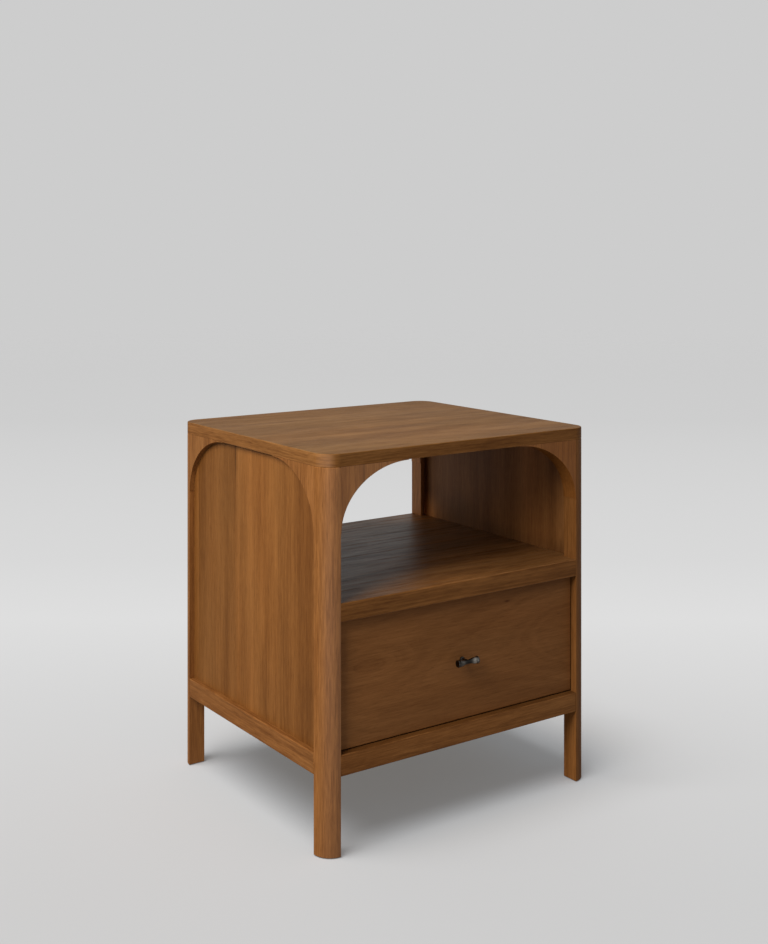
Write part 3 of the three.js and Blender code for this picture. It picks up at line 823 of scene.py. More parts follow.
def cross_recess(at, direction, size, depth, width):
    """A tapered cross-shaped driver recess, sunk from `at` against `direction`."""
    m = Matrix.Translation(Vector(at)) @ frame_of(direction)
    bm = bmesh.new()
    s, w = size / 2 * MM, width / 2 * MM
    outline = [
        (s, -w), (s, w), (w, w), (w, s), (-w, s), (-w, w),
        (-s, w), (-s, -w), (-w, -w), (-w, -s), (w, -s), (w, -w),
    ]
    top = [bm.verts.new(m @ Vector((a * 1.06, b * 1.06, 0.6 * MM))) for a, b in outline]
    low = [
        bm.verts.new(m @ Vector((a * 0.55, b * 0.55, -depth * MM))) for a, b in outline
    ]
    n = len(outline)
    for k in range(n):
        j = (k + 1) % n
        bm.faces.new((top[k], top[j], low[j], low[k]))
    bm.faces.new(top[::-1])
    bm.faces.new(low)
    return tool(bm)


# ---------------------------------------------------------------------- wood
# linear base colours
TOP = (0.256, 0.116, 0.032)
TOP_EDGE = (0.228, 0.091, 0.0225)
FRAME_WOOD = (0.247, 0.096, 0.0245)
# the left-hand posts take a lighter copy of the frame's wood: painted light from the left
LIT_POST_WOOD = (0.270, 0.105, 0.0265)
PANEL = (0.238, 0.090, 0.0202)
SHELF = (0.235, 0.097, 0.028)
SHELF_EDGE = (0.198, 0.076, 0.0185)
FRONT = (0.236, 0.093, 0.0270)
LINING = (0.36, 0.2, 0.085)
PLY = (0.42, 0.265, 0.125)


def bell(g, value, centre, width):
    """1 at the centre, falling away over the width (metres)."""
    q = g.mul(g.math("SUBTRACT", value, centre), 1 / width)
    return g.math("EXPONENT", g.mul(g.mul(q, q), -1.0))


def facing(g, axis, low, high):
    """1 on faces whose normal along the axis goes from low to high."""
    n = dict(zip("xyz", g.split(g.node("ShaderNodeNewGeometry").outputs["Normal"])))
    return g.remap(n[axis], low, high, 0.0, 1.0)


def panel_marks(g, x, y, z):
    """A darker rear board, a dark check at the top of its joint, a pale streak low down."""
    rear = g.remap(y, 0.048, 0.070, 0.0, 1.0, smooth=True)
    fore = g.remap(y, -0.152, -0.102, 1.0, 0.0, smooth=True)
    high = g.remap(z, 0.50, 0.56, 0.0, 1.0, smooth=True)
    low = g.remap(z, 0.20, 0.36, 1.0, 0.0, smooth=True)
    check = g.mul(bell(g, y, 0.0585, 0.0022), g.mul(high, 0.42))
    pale = g.mul(bell(g, y, 0.0475, 0.006), g.mul(low, 0.14))
    upper = g.mul(rear, g.remap(z, 0.34, 0.48, 0.0, 1.0, smooth=True))
    return g.add(
        0.99, g.mul(rear, -0.14), g.mul(upper, -0.07), g.mul(fore, -0.09), pale,
        g.mul(check, -1.0),
    )


def bracket_check_and_painted_light(g, x, y, z):
    """A fine dark check beside the joint of a front bracket, and painted light that makes its face
    paler than its curved edge.
    """
    high = g.remap(z, 0.545, 0.556, 0.0, 1.0, smooth=True)
    face = g.mul(facing(g, "y", -0.6, -0.9), 0.35)
    return g.add(0.95, face, g.mul(g.mul(bell(g, x, -0.1975, 0.0012), high), -0.5))


def bracket_polish(g, x, y, z):
    """Polish on the face of the front left bracket, and little on its curved edge."""
    return g.math("MULTIPLY_ADD", facing(g, "y", -0.6, -0.9), 0.60, 0.10)


def drawer_front_painted_light(g, x, y, z):
    """Painted light: paler towards the left-hand end of the drawer front."""
    left = g.remap(x, -0.22, 0.02, 1.0, 0.0, smooth=True)
    return g.math("MULTIPLY_ADD", left, 0.12, 0.97)


def rail_painted_shade(g, x, y, z):
    """Painted shade: the top of the front rail is darkened in the corner below the drawer, and its
    front a little.
    """
    front = facing(g, "y", -0.6, -0.9)
    above = g.remap(z, 0.1508, 0.1519, 0.0, 1.0)
    return g.add(1.0, g.mul(front, -0.02), g.mul(above, -0.5))


def right_post_painted_shade(g, x, y, z):
    """Painted shade: darker on the front and the inner face than on the rounded outer corner."""
    front = facing(g, "y", -0.3, -0.8)
    inner = g.mul(facing(g, "x", -0.6, -0.9), g.remap(z, 0.12, 0.16, 0.0, 1.0, smooth=True))
    return g.add(1.0, g.mul(front, -0.13), g.mul(inner, -0.20))


def right_post_polish(g, x, y, z):
    """Little polish on the inner face."""
    return g.math("MULTIPLY_ADD", facing(g, "x", -0.6, -0.9), -0.14, 0.17)


def rear_post_painted_light(g, x, y, z):
    """Painted light: paler on its inner faces."""
    inner = facing(g, "x", -0.6, -0.9)
    front = facing(g, "y", -0.6, -0.9)
    return g.add(1.05, g.mul(inner, 1.1), g.mul(front, 0.5))


def rear_bracket_painted_light(g, x, y, z):
    """Painted light: faces turned towards -X are paler, so the lower end of the curved edge runs into
    the paler inner face of the post.
    """
    return g.math("MULTIPLY_ADD", facing(g, "x", -0.45, -0.95), 1.1, 1.05)


def rear_bracket_polish(g, x, y, z):
    return g.math("MULTIPLY_ADD", facing(g, "x", -0.45, -0.95), 0.42, 0.08)


def left_rear_post_painted_light(g, x, y, z):
    """Painted light: paler towards the foot."""
    return g.math("MULTIPLY_ADD", g.remap(z, 0.10, 0.20, 1.0, 0.0, smooth=True), 0.22, 1.02)


def top_painted_shade(g, x, y, z):
    """Painted shade: the top is a shade deeper at its left-hand end."""
    return g.math("MULTIPLY_ADD", g.remap(x, -0.26, -0.02, 1.0, 0.0, smooth=True), -0.11, 0.99)


def wall_painted_light_and_shade(g, x, y, z):
    """Painted light and shade inside the right-hand panel: paler before its middle, a painted glow in
    the rear lower corner, darker at the front edge and low down over the shelf.
    """
    inner = facing(g, "x", -0.6, -0.9)
    low = g.remap(z, 0.377, 0.43, 1.0, 0.0, smooth=True)
    change = g.add(
        g.mul(bell(g, y, -0.095, 0.045), 0.38),
        g.remap(y, -0.19, -0.14, -0.15, 0.0, smooth=True),
        g.mul(g.mul(bell(g, y, 0.205, 0.032), low), 2.3),
        g.mul(
            g.mul(bell(g, y, 0.10, 0.06), g.remap(z, 0.40, 0.46, 1.0, 0.0, smooth=True)), -0.36
        ),
        g.mul(
            g.mul(
                g.remap(y, 0.0, 0.08, 1.0, 0.0, smooth=True),
                g.remap(z, 0.377, 0.41, 1.0, 0.0, smooth=True),
            ),
            -0.30,
        ),
    )
    return g.add(1.0, g.mul(inner, change))


def wall_polish(g, x, y, z):
    """More polish on the inside of the right-hand panel, towards the rear."""
    inner = facing(g, "x", -0.6, -0.9)
    rear = g.remap(y, -0.06, 0.14, 0.0, 1.0, smooth=True)
    return g.math("MULTIPLY_ADD", g.mul(inner, rear), 0.22, 0.14)


def shelf_painted_light_and_shade(g, x, y, z):
    """Painted shade deeper towards both ends, with a painted glow in the rear corner on the right."""
    right = g.remap(x, -0.04, 0.16, 0.0, 1.0, smooth=True)
    left = g.remap(x, -0.20, 0.0, 1.0, 0.0, smooth=True)
    rear = g.mul(g.remap(y, 0.14, 0.20, 0.0, 1.0, smooth=True), bell(g, x, 0.2, 0.05))
    return g.add(1.0, g.mul(right, -0.20), g.mul(left, -0.25), g.mul(rear, 0.9))


def shelf_polish(g, x, y, z):
    """Polish on the shelf that the open grain breaks up."""
    lines = g.noise(g.scaled(x, y, z, 5, 85, 85), detail=3.0, rough=0.65)
    return g.remap(lines, 0.36, 0.64, 0.06, 0.60)


def arch_painted_shade(g, x, y, z):
    """Painted shade: the curved edge is deeper in tone than the face."""
    return g.math("MULTIPLY_ADD", facing(g, "y", -0.4, -0.8), 0.32, 0.80)


def arch_polish(g, x, y, z):
    """More polish on the face of a bracket than on its curved edge."""
    return g.math("MULTIPLY_ADD", facing(g, "y", -0.6, -0.9), 0.34, 0.04)


def slab_edge_tone_and_painted_highlight(g, x, y, z):
    """The front edge of the slab is a shade darker than its ends; the rounded front left corner gets
    a painted highlight.
    """
    front = facing(g, "y", -0.80, -0.97)
    return g.add(1.0, g.mul(front, -0.12), g.mul(corner(g), 0.06))


def corner(g):
    """1 on the rounded front left corner."""
    return g.mul(facing(g, "y", -0.10, -0.45), facing(g, "x", -0.25, -0.60))


def corner_polish(g, x, y, z):
    return g.math("MULTIPLY_ADD", corner(g), 0.9, 0.12)


def post_polish(g, x, y, z):
    """More polish on the rounded side of the post than on its flat."""
    return g.math("MULTIPLY_ADD", facing(g, "y", -0.25, -0.75), 0.62, 0.14)


SIDES = (("l", -1), ("r", 1))
POST_POLISH = {"fl": post_polish, "fr": right_post_polish, "bl": 0.35, "br": 0.5}
pieces = {}


def wooden(node, slot, tint, grain, width, seed, radius=0.6, edge=None, **more):
    """`edge` gives another tint and local marks to the faces round the rim."""
    ob = refine(node, radius)
    ob.data.materials.clear()
    ob.data.materials.append(
        timber("Timber " + node, grain, width, tint, seed, **more)
    )
    if edge:
        ob.data.materials.append(
            timber(
                "Timber edge " + node, "rim", width, edge[0], seed,
                **{**more, "board": 4.0, "board_offset": -2.0, **edge[1]},
            )
        )
        for p in ob.data.polygons:
            p.material_index = 0 if abs(p.normal.z) > 0.6 else 1
    pieces[node] = ob
    return ob


wooden(
    "top_panel", "wood_top", TOP, "x", "y", 3.1, 0.7,
    board=0.155, board_offset=-0.03, board_contrast=0.05, figure=0.3,
    ring=0.2, tone=0.4, fibre=0.38, contrast=0.75, roughness=0.5, blotch=0.34,
    specular=0.10, local=top_painted_shade,
    edge=(
        TOP_EDGE,
        dict(
            local=slab_edge_tone_and_painted_highlight, specular=corner_polish, contrast=0.95, blotch=0.12,
            fibre=0.6, ring=0.35, figure=0.5, streak=9.0,
        ),
    ),
)
wooden(
    "shelf", "wood_shelf", SHELF, "x", "y", 8.4, 0.7,
    board=0.14, board_offset=0.045, board_contrast=0.10, figure=0.6,
    ring=0.5, tone=0.3, fibre=0.7, contrast=1.0, roughness=0.40, specular=shelf_polish,
    streak=9.0, blotch=0.2, local=shelf_painted_light_and_shade, sheen=(0.78, 0.98, 0.85),
    edge=(
        SHELF_EDGE,
        dict(
            specular=0.12, contrast=0.85, blotch=0.3, figure=0.75, fibre=0.5, local=None,
            sheen=None,
        ),
    ),
)
wooden(
    "back_panel", "wood_panel", PANEL, "x", "z", 5.7, 0.5,
    board=0.16, board_offset=0.02, board_contrast=0.3, figure=0.7,
    ring=0.4, tone=0.35, fibre=0.35, contrast=0.7,
)
for k, (en, sn, marks) in enumerate(
    (
        ("f", "l", None), ("f", "r", right_post_painted_shade),
        ("b", "l", left_rear_post_painted_light), ("b", "r", rear_post_painted_light),
    )
):
    # the left-hand posts take the painted-light copy of the frame's wood
    wooden(
        f"post_{en}{sn}", "wood_frame", LIT_POST_WOOD if sn == "l" else FRAME_WOOD,
        "z", "x", 11.3 + 2.9 * k, 0.6,
        board=4.0, board_offset=-2.0, board_contrast=0.0, figure=0.1,
        ring=0.3, tone=0.3, fibre=0.62 if (en, sn) == ("f", "l") else 0.5,
        contrast=0.8, streak=24.0, specular=POST_POLISH[en + sn], local=marks,
    )
k = 0
for sn, s in SIDES:
    for place in ("front", "back"):
        lit = (place, sn) == ("front", "l")
        far = (place, sn) == ("back", "r")
        # the front right bracket takes a darker copy of the frame's wood: painted shade
        wooden(
            f"bracket_{place}_{sn}", "wood_frame",
            FRAME_WOOD if sn == "l" or far else (0.230, 0.081, 0.0165),
            "z", "x", 23.0 + 1.7 * k,
            0.35, board=0.0425 * 2 if place == "front" else 0.11,
            board_offset=-0.1975 if sn == "l" else 0.2,
            board_contrast=0.06, figure=0.15, ring=0.35, tone=0.3, fibre=0.6,
            contrast=0.7, streak=18.0,
            specular=(
                bracket_polish if lit else rear_bracket_polish if far
                else arch_polish if place == "front" else 0.08
            ),
            local=(
                bracket_check_and_painted_light if lit else rear_bracket_painted_light if far
                else arch_painted_shade if place == "front" else None
            ),
        )
        k += 1
    for en in "fb":
        wooden(
            f"bracket_side_{sn}{en}", "wood_frame", FRAME_WOOD, "z", "y", 41.0 + 1.7 * k,
            0.35, board=1.0, board_offset=-0.5, board_contrast=0.0, figure=0.2,
            ring=0.4, tone=0.3, fibre=0.55, contrast=0.9, streak=14.0,
        )
        k += 1
    # the right-hand panel takes a slightly greyer copy of the panel wood, a painted sheen on its
    # inside
    wooden(
        f"side_panel_{sn}", "wood_panel", PANEL if sn == "l" else (0.240, 0.095, 0.026),
        "z", "y", 61.2 if sn == "l" else 66.5,
        0.4, board=0.133, board_offset=0.0565, board_contrast=0.0, figure=0.42,
        ring=0.17, tone=0.52, fibre=0.33, contrast=0.88, streak=21.0,
        local=panel_marks if sn == "l" else wall_painted_light_and_shade,
        specular=None if sn == "l" else wall_polish,
    )
    wooden(
        f"side_rail_{sn}", "wood_frame", FRAME_WOOD, "y", "z", 71.0 + 2.3 * s, 0.5,
        board=1.0, board_offset=-0.5, board_contrast=0.0, figure=0.3,
        ring=0.35, tone=0.3, fibre=0.55, contrast=0.9,
    )
    wooden(
        f"batten_{sn}", "lining_wood", LINING, "y", "z", 77.0 + 1.1 * s, 0.4,
        board=1.0, board_offset=-0.5, board_contrast=0.0, figure=0.4,
        ring=0.35, tone=0.25, fibre=0.35, contrast=0.6, roughness=0.6,
    )
    wooden(
        f"drawer_side_{sn}", "lining_wood", LINING, "y", "z", 83.0 + 1.9 * s, 0.5,
        board=0.3, board_offset=0.1, board_contrast=0.0, figure=0.7,
        ring=0.45, tone=0.25, fibre=0.35, contrast=0.65, roughness=0.58,
    )
for node, seed, marks in (("front_rail", 91.0, rail_painted_shade), ("back_rail", 94.3, None)):
    wooden(
        node, "wood_frame", FRAME_WOOD, "x", "z", seed, 0.5,
        board=1.0, board_offset=-0.5, board_contrast=0.0, figure=0.5,
        ring=0.3, tone=0.3, fibre=0.6, contrast=0.9, local=marks,
    )
wooden(
    "drawer_front", "wood_drawer_front", FRONT, "x", "z", 101.7, 0.5,
    board=0.4, board_offset=0.1, board_contrast=0.0, figure=0.75,
    ring=0.32, tone=0.35, fibre=0.4, contrast=0.62, local=drawer_front_painted_light, streak=12.0,
    eye=(-0.17, 0.27, 0), eye_amount=1.0, knot=(0.095, 0.3268, 0), knot_amount=0.9,
)
for node, seed in (("drawer_box_front", 107.2), ("drawer_back", 109.9)):
    wooden(
        node, "lining_wood", LINING, "x", "z", seed, 0.5,
        board=0.3, board_offset=0.1, board_contrast=0.0, figure=0.7,
        ring=0.45, tone=0.25, fibre=0.35, contrast=0.55, roughness=0.58,
    )
for node, seed in (("dust_panel", 113.0), ("drawer_bottom", 117.0)):
    ob = refine(node, 0.25)
    ob.data.materials.append(
        plywood(
            "Plywood " + node, "x", "y", "z", PLY, seed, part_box(node)[0].z
        )
    )
    pieces[node] = ob

# --------------------------------------------------------------------- metal
STEEL = metal("Zinc plate", (0.52, 0.54, 0.56), 0.3, "y", 1.7, 1.0, 0.12)
CAGE = metal("Retainer steel", (0.46, 0.46, 0.47), 0.36, "y", 3.9, 0.8, 0.05)
BALL = metal("Ball steel", (0.62, 0.62, 0.63), 0.12, "y", 6.1, 0.0)
SCREW = metal("Screw steel", (0.42, 0.43, 0.45), 0.3, "x", 8.3, 0.3, 0.1)
BRONZE = metal("Dark bronze", (0.034, 0.03, 0.027), 0.36, "x", 2.9, 0.4)


def barrel_rub_and_painted_highlight(g, x, y, z):
    """Rubbed bronze on both swellings of the bar, away from its waist; the right one paler than the
    left, a painted highlight.
    """
    return g.mul(
        bell(g, g.math("ABSOLUTE", x), 0.0128, 0.0046),
        g.remap(x, -0.006, 0.006, 0.42, 0.85),
    )


# the bar's rubbed swellings also carry a painted highlight, stronger on the right
RUBBED_WITH_HIGHLIGHT = metal("Rubbed bronze", (0.034, 0.03, 0.027), 0.36, "x", 4.7, 0.4, rub=barrel_rub_and_painted_highlight)
NYLON = moulded("Moulded nylon", (0.036, 0.032, 0.029))

SLIDE_Y0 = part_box("slide_outer_l")[0].y / MM
SLIDE_Y1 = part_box("slide_outer_l")[1].y / MM
SLIDE_Z = 220.0
XI = 239.5


def slots(x0, x1, spots):
    """Cutting solid for round-ended slots through a web: [y, length, width] in mm."""
    bm = bmesh.new()
    for y, length, width in spots:
        r, half = width / 2, (length - width) / 2
        outline = []
        for k in range(20):
            a = math.pi * (k // 10 + (k % 10) / 9) - math.pi / 2
            outline.append(
                (y + (half if k < 10 else -half) + r * math.cos(a), r * math.sin(a))
            )
        if half < 0.01:
            outline = outline[:9] + outline[10:19]
        rings = [
            [bm.verts.new((x * MM, b * MM, (SLIDE_Z + c) * MM)) for b, c in outline]
            for x in (x0, x1)
        ]
        n = len(outline)
        for k in range(n):
            j = (k + 1) % n
            bm.faces.new((rings[0][k], rings[0][j], rings[1][j], rings[1][k]))
        bm.faces.new(rings[0][::-1])
        bm.faces.new(rings[1])
    return tool(bm)


WEBS = {"outer": (0.0, 1.25), "middle": (3.0, 4.25), "inner": (11.5, 12.75)}
PUNCHED = {
    "outer": ((62, 11, 4.6), (118, 5, 5), (252, 11, 4.6), (300, 5, 5)),
    "middle": ((30, 6, 6), (86, 16, 5), (200, 6, 6), (314, 16, 5), (370, 6, 6)),
    "inner": ((14, 5, 5), (72, 10, 4.5), (128, 5, 5), (196, 10, 4.5), (262, 5, 5), (386, 5, 5)),
}
for sn, s in SIDES:
    for part in ("outer", "middle", "inner"):
        node = f"slide_{part}_{sn}"
        ob = refine(node, 0.3, 2, 40)
        u0, u1 = WEBS[part]
        taken = [
            (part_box(n)[0].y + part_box(n)[1].y) / 2 / MM - SLIDE_Y0
            for n in NODES
            if n.startswith(f"slide_screw_{part}_{sn}")
        ]
        spots = [
            (SLIDE_Y0 + at, length, width)
            for at, length, width in PUNCHED[part]
            if all(abs(at - t) > 14 for t in taken)
        ]
        cut(ob, [slots(s * (XI - u0 + 1.0), s * (XI - u1 - 1.0), spots)])
        ob.data.materials.clear()
        ob.data.materials.append(STEEL)
        pieces[node] = ob


def strip(bm, outline, y0, y1):
    """Extrudes an [x, z] outline (mm) along Y."""
    a = [bm.verts.new((x * MM, y0 * MM, z * MM)) for x, z in outline]
    b = [bm.verts.new((x * MM, y1 * MM, z * MM)) for x, z in outline]
    n = len(outline)
    for k in range(n):
        j = (k + 1) % n
        bm.faces.new((a[k], a[j], b[j], b[k]))
    bm.faces.new(a[::-1])
    bm.faces.new(b)


def ball(bm, centre, radius, u=16, v=10):
    m = Matrix.Translation(Vector(centre) * MM)
    bmesh.ops.create_uvsphere(bm, u_segments=u, v_segments=v, radius=radius * MM, matrix=m)


for sn, s in SIDES:
    X = lambda u, s=s: s * (XI - u)
    mid = (SLIDE_Y0 + SLIDE_Y1) / 2
    for part, u0, u1, reach, z0, z1, r, ub, zb in (
        ("outer", 1.75, 2.5, 9.25, 18.75, 19.5, 1.75, 6.5, 19.125),
        ("inner", 4.75, 5.5, 10.5, 13.375, 14.125, 1.625, 8.0, 13.75),
    ):
        node = f"cage_{part}_{sn}"
        bm = bmesh.new()
        outline = [
            (X(u0), SLIDE_Z - z1), (X(reach), SLIDE_Z - z1), (X(reach), SLIDE_Z - z0),
            (X(u1), SLIDE_Z - z0), (X(u1), SLIDE_Z + z0), (X(reach), SLIDE_Z + z0),
            (X(reach), SLIDE_Z + z1), (X(u0), SLIDE_Z + z1),
        ]
        strip(bm, outline, mid - 80, mid + 80)
        bmesh.ops.recalc_face_normals(bm, faces=bm.faces)
        bmesh.ops.bevel(
            bm, geom=[e for e in bm.edges if e.calc_length() > 5 * MM],
            offset=0.12 * MM, segments=1, affect="EDGES",
        )
        strip_faces = len(bm.faces)
        for row in range(9):
            for e in (-1, 1):
                ball(bm, (X(ub), mid - 68 + row * 17, SLIDE_Z + e * zb), r)
        ob = finish_mesh(bm, node + ".fine", node, [node])
        ob.data.materials.append(CAGE)
        ob.data.materials.append(BALL)
        for p in ob.data.polygons:
            p.material_index = 0 if p.index < strip_faces else 1
        pieces[node] = ob


def turned(node, material, profile, direction, at, segments=48, holes=(), recess=None):
    bm = bmesh.new()
    lathe(bm, profile, direction, at, segments)
    wear = bm.faces.layers.float.new("wear")
    for f in bm.faces:
        edge_turn = max((e.calc_face_angle(0.0) for e in f.edges), default=0)
        f[wear] = 0.7 if edge_turn > math.radians(24) and f.calc_area() < 4e-6 else 0.0
    ob = finish_mesh(bm, node + ".fine", node, [node])
    cutters = []
    for prof, d, p in holes:
        b2 = bmesh.new()
        lathe(b2, prof, d, p, 32)
        cutters.append(tool(b2))
    if recess:
        cutters.append(cross_recess(*recess))
    if cutters:
        cut(ob, cutters)
    ob.data.materials.clear()
    ob.data.materials.append(material)
    pieces[node] = ob
    return ob


def centre_of(node):
    lo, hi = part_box(node)
    return (lo + hi) / 2


# pull: waisted bar, stem with a rosette, and the screw from inside the drawer
front_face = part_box("drawer_front")[0].y
bar = centre_of("pull_bar")
R, WAIST, H = 6.0, 3.5, 21.0
end_form = [
    (0, H - 0.35), (R - 2.6, H - 0.35), (R - 2.2, H - 0.2), (R - 1.8, H), (R - 1.2, H - 0.05),
    (R - 0.6, H - 0.35), (R - 0.15, H - 0.85), (R, H - 1.4), (R, H - 2.0),
    (R - 0.2, H - 2.5), (R - 0.7, H - 3.0), (R - 1.4, H - 3.4), (R - 1.6, H - 3.8),
    (R - 1.6, H - 4.2),
]
barrel = rounded(
    [
        (R - 1.6, H - 4.2), (R - 0.8, H - 4.9), (R - 0.5, H - 6.5), (R - 1.0, H - 9.5),
        (R - 1.8, H - 13), (WAIST, H - 17), (WAIST, 0.0),
    ],
    4,
)
half = end_form + barrel[1:]
bar_profile = [(r, -h) for r, h in half] + [(r, h) for r, h in half[::-1][1:]]
axis = Vector((0, bar.y, bar.z))
turned(
    "pull_bar", RUBBED_WITH_HIGHLIGHT, bar_profile, (1, 0, 0), axis, 64,
    holes=[([(0, 0), (2, 0), (2, 10), (0, 10)], (0, 1, 0), axis)],
)
stand = (front_face - bar.y) / MM
turned(
    "pull_stem", BRONZE,
    [
        (0, 0), (1.6, 0), (1.75, 0.15), (1.75, WAIST), (3, WAIST), (3, stand - 4.6),
        (3.05, stand - 3.6), (3.3, stand - 2.9), (3.8, stand - 2.4), (4.35, stand - 2.1),
        (4.65, stand - 1.8), (4.75, stand - 1.4), (4.75, stand), (0, stand),
    ],
    (0, 1, 0), axis, 48,
    holes=[([(0, stand - 7), (2.25, stand - 7), (2.25, stand + 2), (0, stand + 2)], (0, 1, 0), axis)],
)
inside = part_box("drawer_box_front")[1].y
turned(
    "pull_screw", SCREW,
    [
        (0, -2.5), (1.4, -2.45), (2.6, -2.2), (3.4, -1.75), (3.85, -1.2), (4, -0.7),
        (4, 0), (2, 0), (2, 36.4), (1.4, 37.4), (0, 37.6),
    ],
    (0, -1, 0), (0, inside, bar.z), 40,
    recess=((0, inside + 2.5 * MM, bar.z), (0, 1, 0), 4.2, 1.7, 1.1),
)
for sn, s in SIDES:
    c = centre_of(f"front_screw_{sn}")
    turned(
        f"front_screw_{sn}", SCREW,
        [
            (0, -2.25), (1.3, -2.2), (2.4, -1.9), (3.1, -1.2), (3.5, -0.5), (3.5, 0),
            (1.75, 0), (1.75, 20), (1.2, 22.5), (0, 24),
        ],
        (0, -1, 0), (c.x, inside, c.z), 36,
        recess=((c.x, inside + 2.25 * MM, c.z), (0, 1, 0), 3.8, 1.5, 1.0),
    )
    for i in (1, 2):
        node = f"slide_screw_outer_{sn}{i}"
        lo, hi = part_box(node)
        face = lo.x + 0.01 if s < 0 else hi.x - 0.01
        y, z = (lo.y + hi.y) / 2, (lo.z + hi.z) / 2
        plane = s * XI * MM
        turned(
            node, SCREW,
            [
                (0, 1.25), (2.6, 1.25), (3.05, 1.1), (3.25, 0.8), (3.25, 0), (1.5, 0),
                (1.5, -8), (0, -10),
            ][::-1],
            (-s, 0, 0), (plane, y, z), 32,
            recess=((plane - s * 1.25 * MM, y, z), (-s, 0, 0), 3.6, 0.9, 0.9),
        )
        node = f"slide_screw_inner_{sn}{i}"
        lo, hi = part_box(node)
        y, z = (lo.y + hi.y) / 2, (lo.z + hi.z) / 2
        plane = s * (XI - 12.75) * MM
        turned(
            node, SCREW,
            [
                (0, 3.25), (1.2, 3.2), (2.3, 3.05), (2.6, 2.7), (3.25, 1.35), (3.25, 1.25),
                (1.5, 1.25), (1.5, -6), (0, -8),
            ][::-1],
            (s, 0, 0), (plane, y, z), 32,
            recess=((plane + s * 3.25 * MM, y, z), (s, 0, 0), 3.4, 1.1, 0.9),
        )
    for en in "fb":
        node = f"glide_{en}{sn}"
        lo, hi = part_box(node)
        c = ((lo.x + hi.x) / 2, (lo.y + hi.y) / 2, 0.0)
        turned(
            node, NYLON,
            [
                (0, 0), (7.6, 0), (8.2, 0.05), (8.6, 0.2), (8.9, 0.42), (9, 0.7), (9, 2.5),
                (2, 2.5), (2, 3.4), (1.8, 3.7), (2, 4), (2, 5.4), (1.8, 5.7), (2, 6), (2, 12),
                (0, 14),
            ],
            (0, 0, 1), c, 40,
        )

# -------------------------------------------------------------- camera, light
PHI = 0.5995
CAM = Vector((-1.30511, -1.81626, 0.90733))
FOCAL, PX, PY = 1289.63, 352.79, 246.53
data = bpy.data.cameras.new("camera")
cam = bpy.data.objects.new("camera", data)
scene.collection.objects.link(cam)
scene.camera = cam
cam.location = CAM
cam.rotation_euler = (math.pi / 2, 0, -PHI)
data.sensor_fit = "AUTO"
data.sensor_width = 36.0
data.lens = FOCAL * 36.0 / 944
data.clip_start, data.clip_end = 0.05, 200


def shifted(path, value):
    """Lens shift that only holds at the camera's own place."""
    d = data.driver_add(path).driver
    d.type = "SCRIPTED"
    v = d.variables.new()
    v.name = "x"
    v.type = "TRANSFORMS"
    v.targets[0].id = cam
    v.targets[0].transform_type = "LOC_X"
    v.targets[0].transform_space = "WORLD_SPACE"
    d.expression = f"{value:.6f} if abs(x - ({CAM.x:.5f})) < 0.0005 else 0.0"


shifted("shift_x", (384 - PX) / 944)
shifted("shift_y", -(472 - PY) / 944)

FORWARD = Vector((math.sin(PHI), math.cos(PHI), 0))


def linear(v):
    v /= 255
    return v / 12.92 if v <= 0.04045 else ((v + 0.055) / 1.055) ** 2.4


# floor: a pale sweep whose tone drifts with distance, a painted gradient of light brightest in a band
# beyond the cabinet, fading into the background
me = bpy.data.meshes.new("floor")
me.from_pydata([(-16, -16, 0), (16, -16, 0), (16, 16, 0), (-16, 16, 0)], [], [(0, 1, 2, 3)])
floor = bpy.data.objects.new("floor", me)
scene.collection.objects.link(floor)
floor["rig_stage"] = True
mat = bpy.data.materials.new("Pale floor")
mat.use_nodes = True
mat.node_tree.nodes.clear()
g = Graph(mat.node_tree)
pos = g.node("ShaderNodeNewGeometry")
fx, fy, _ = g.split(pos.outputs["Position"])
along = g.add(g.mul(fx, FORWARD.x), g.mul(fy, FORWARD.y))
stops = [
    (-1.2, 204), (-0.45, 207.5), (-0.12, 211), (0.34, 216), (0.9, 223), (1.5, 217),
    (4.5, 206), (7.0, 204.5),
]
SPAN0, SPAN1 = -1.2, 7.0
tone = g.ramp(
    g.remap(along, SPAN0, SPAN1, 0.0, 1.0),
    [((s - SPAN0) / (SPAN1 - SPAN0), (linear(v),) * 3) for s, v in stops],
)
SHADOWED, STEADY = 0.89, 0.18  # shares of the floor's tone that shadows can and can't take
BOUNCE = 0.45  # how much of its light the floor hands on to the object
GLOSS, CARD = 0.38, 3.6  # the floor in reflections, and a white card lying front left
SKY_DIFFUSE, SUN_FLOOR = 0.24, 0.76
diffuse = g.node("ShaderNodeBsdfDiffuse")
path = g.node("ShaderNodeLightPath")
cx = g.mul(g.math("SUBTRACT", fx, -1.35), 1 / 0.9)
cy = g.mul(g.math("SUBTRACT", fy, -1.45), 1 / 0.9)
card = g.math("EXPONENT", g.mul(g.add(g.mul(cx, cx), g.mul(cy, cy)), -1.0))
mirrored = g.math("MULTIPLY_ADD", card, CARD, GLOSS)
held = g.mul(
    g.remap(path.outputs["Is Diffuse Ray"], 0.0, 1.0, 1.0, BOUNCE),
    g.remap(path.outputs["Is Glossy Ray"], 0.0, 1.0, 1.0, mirrored),
)
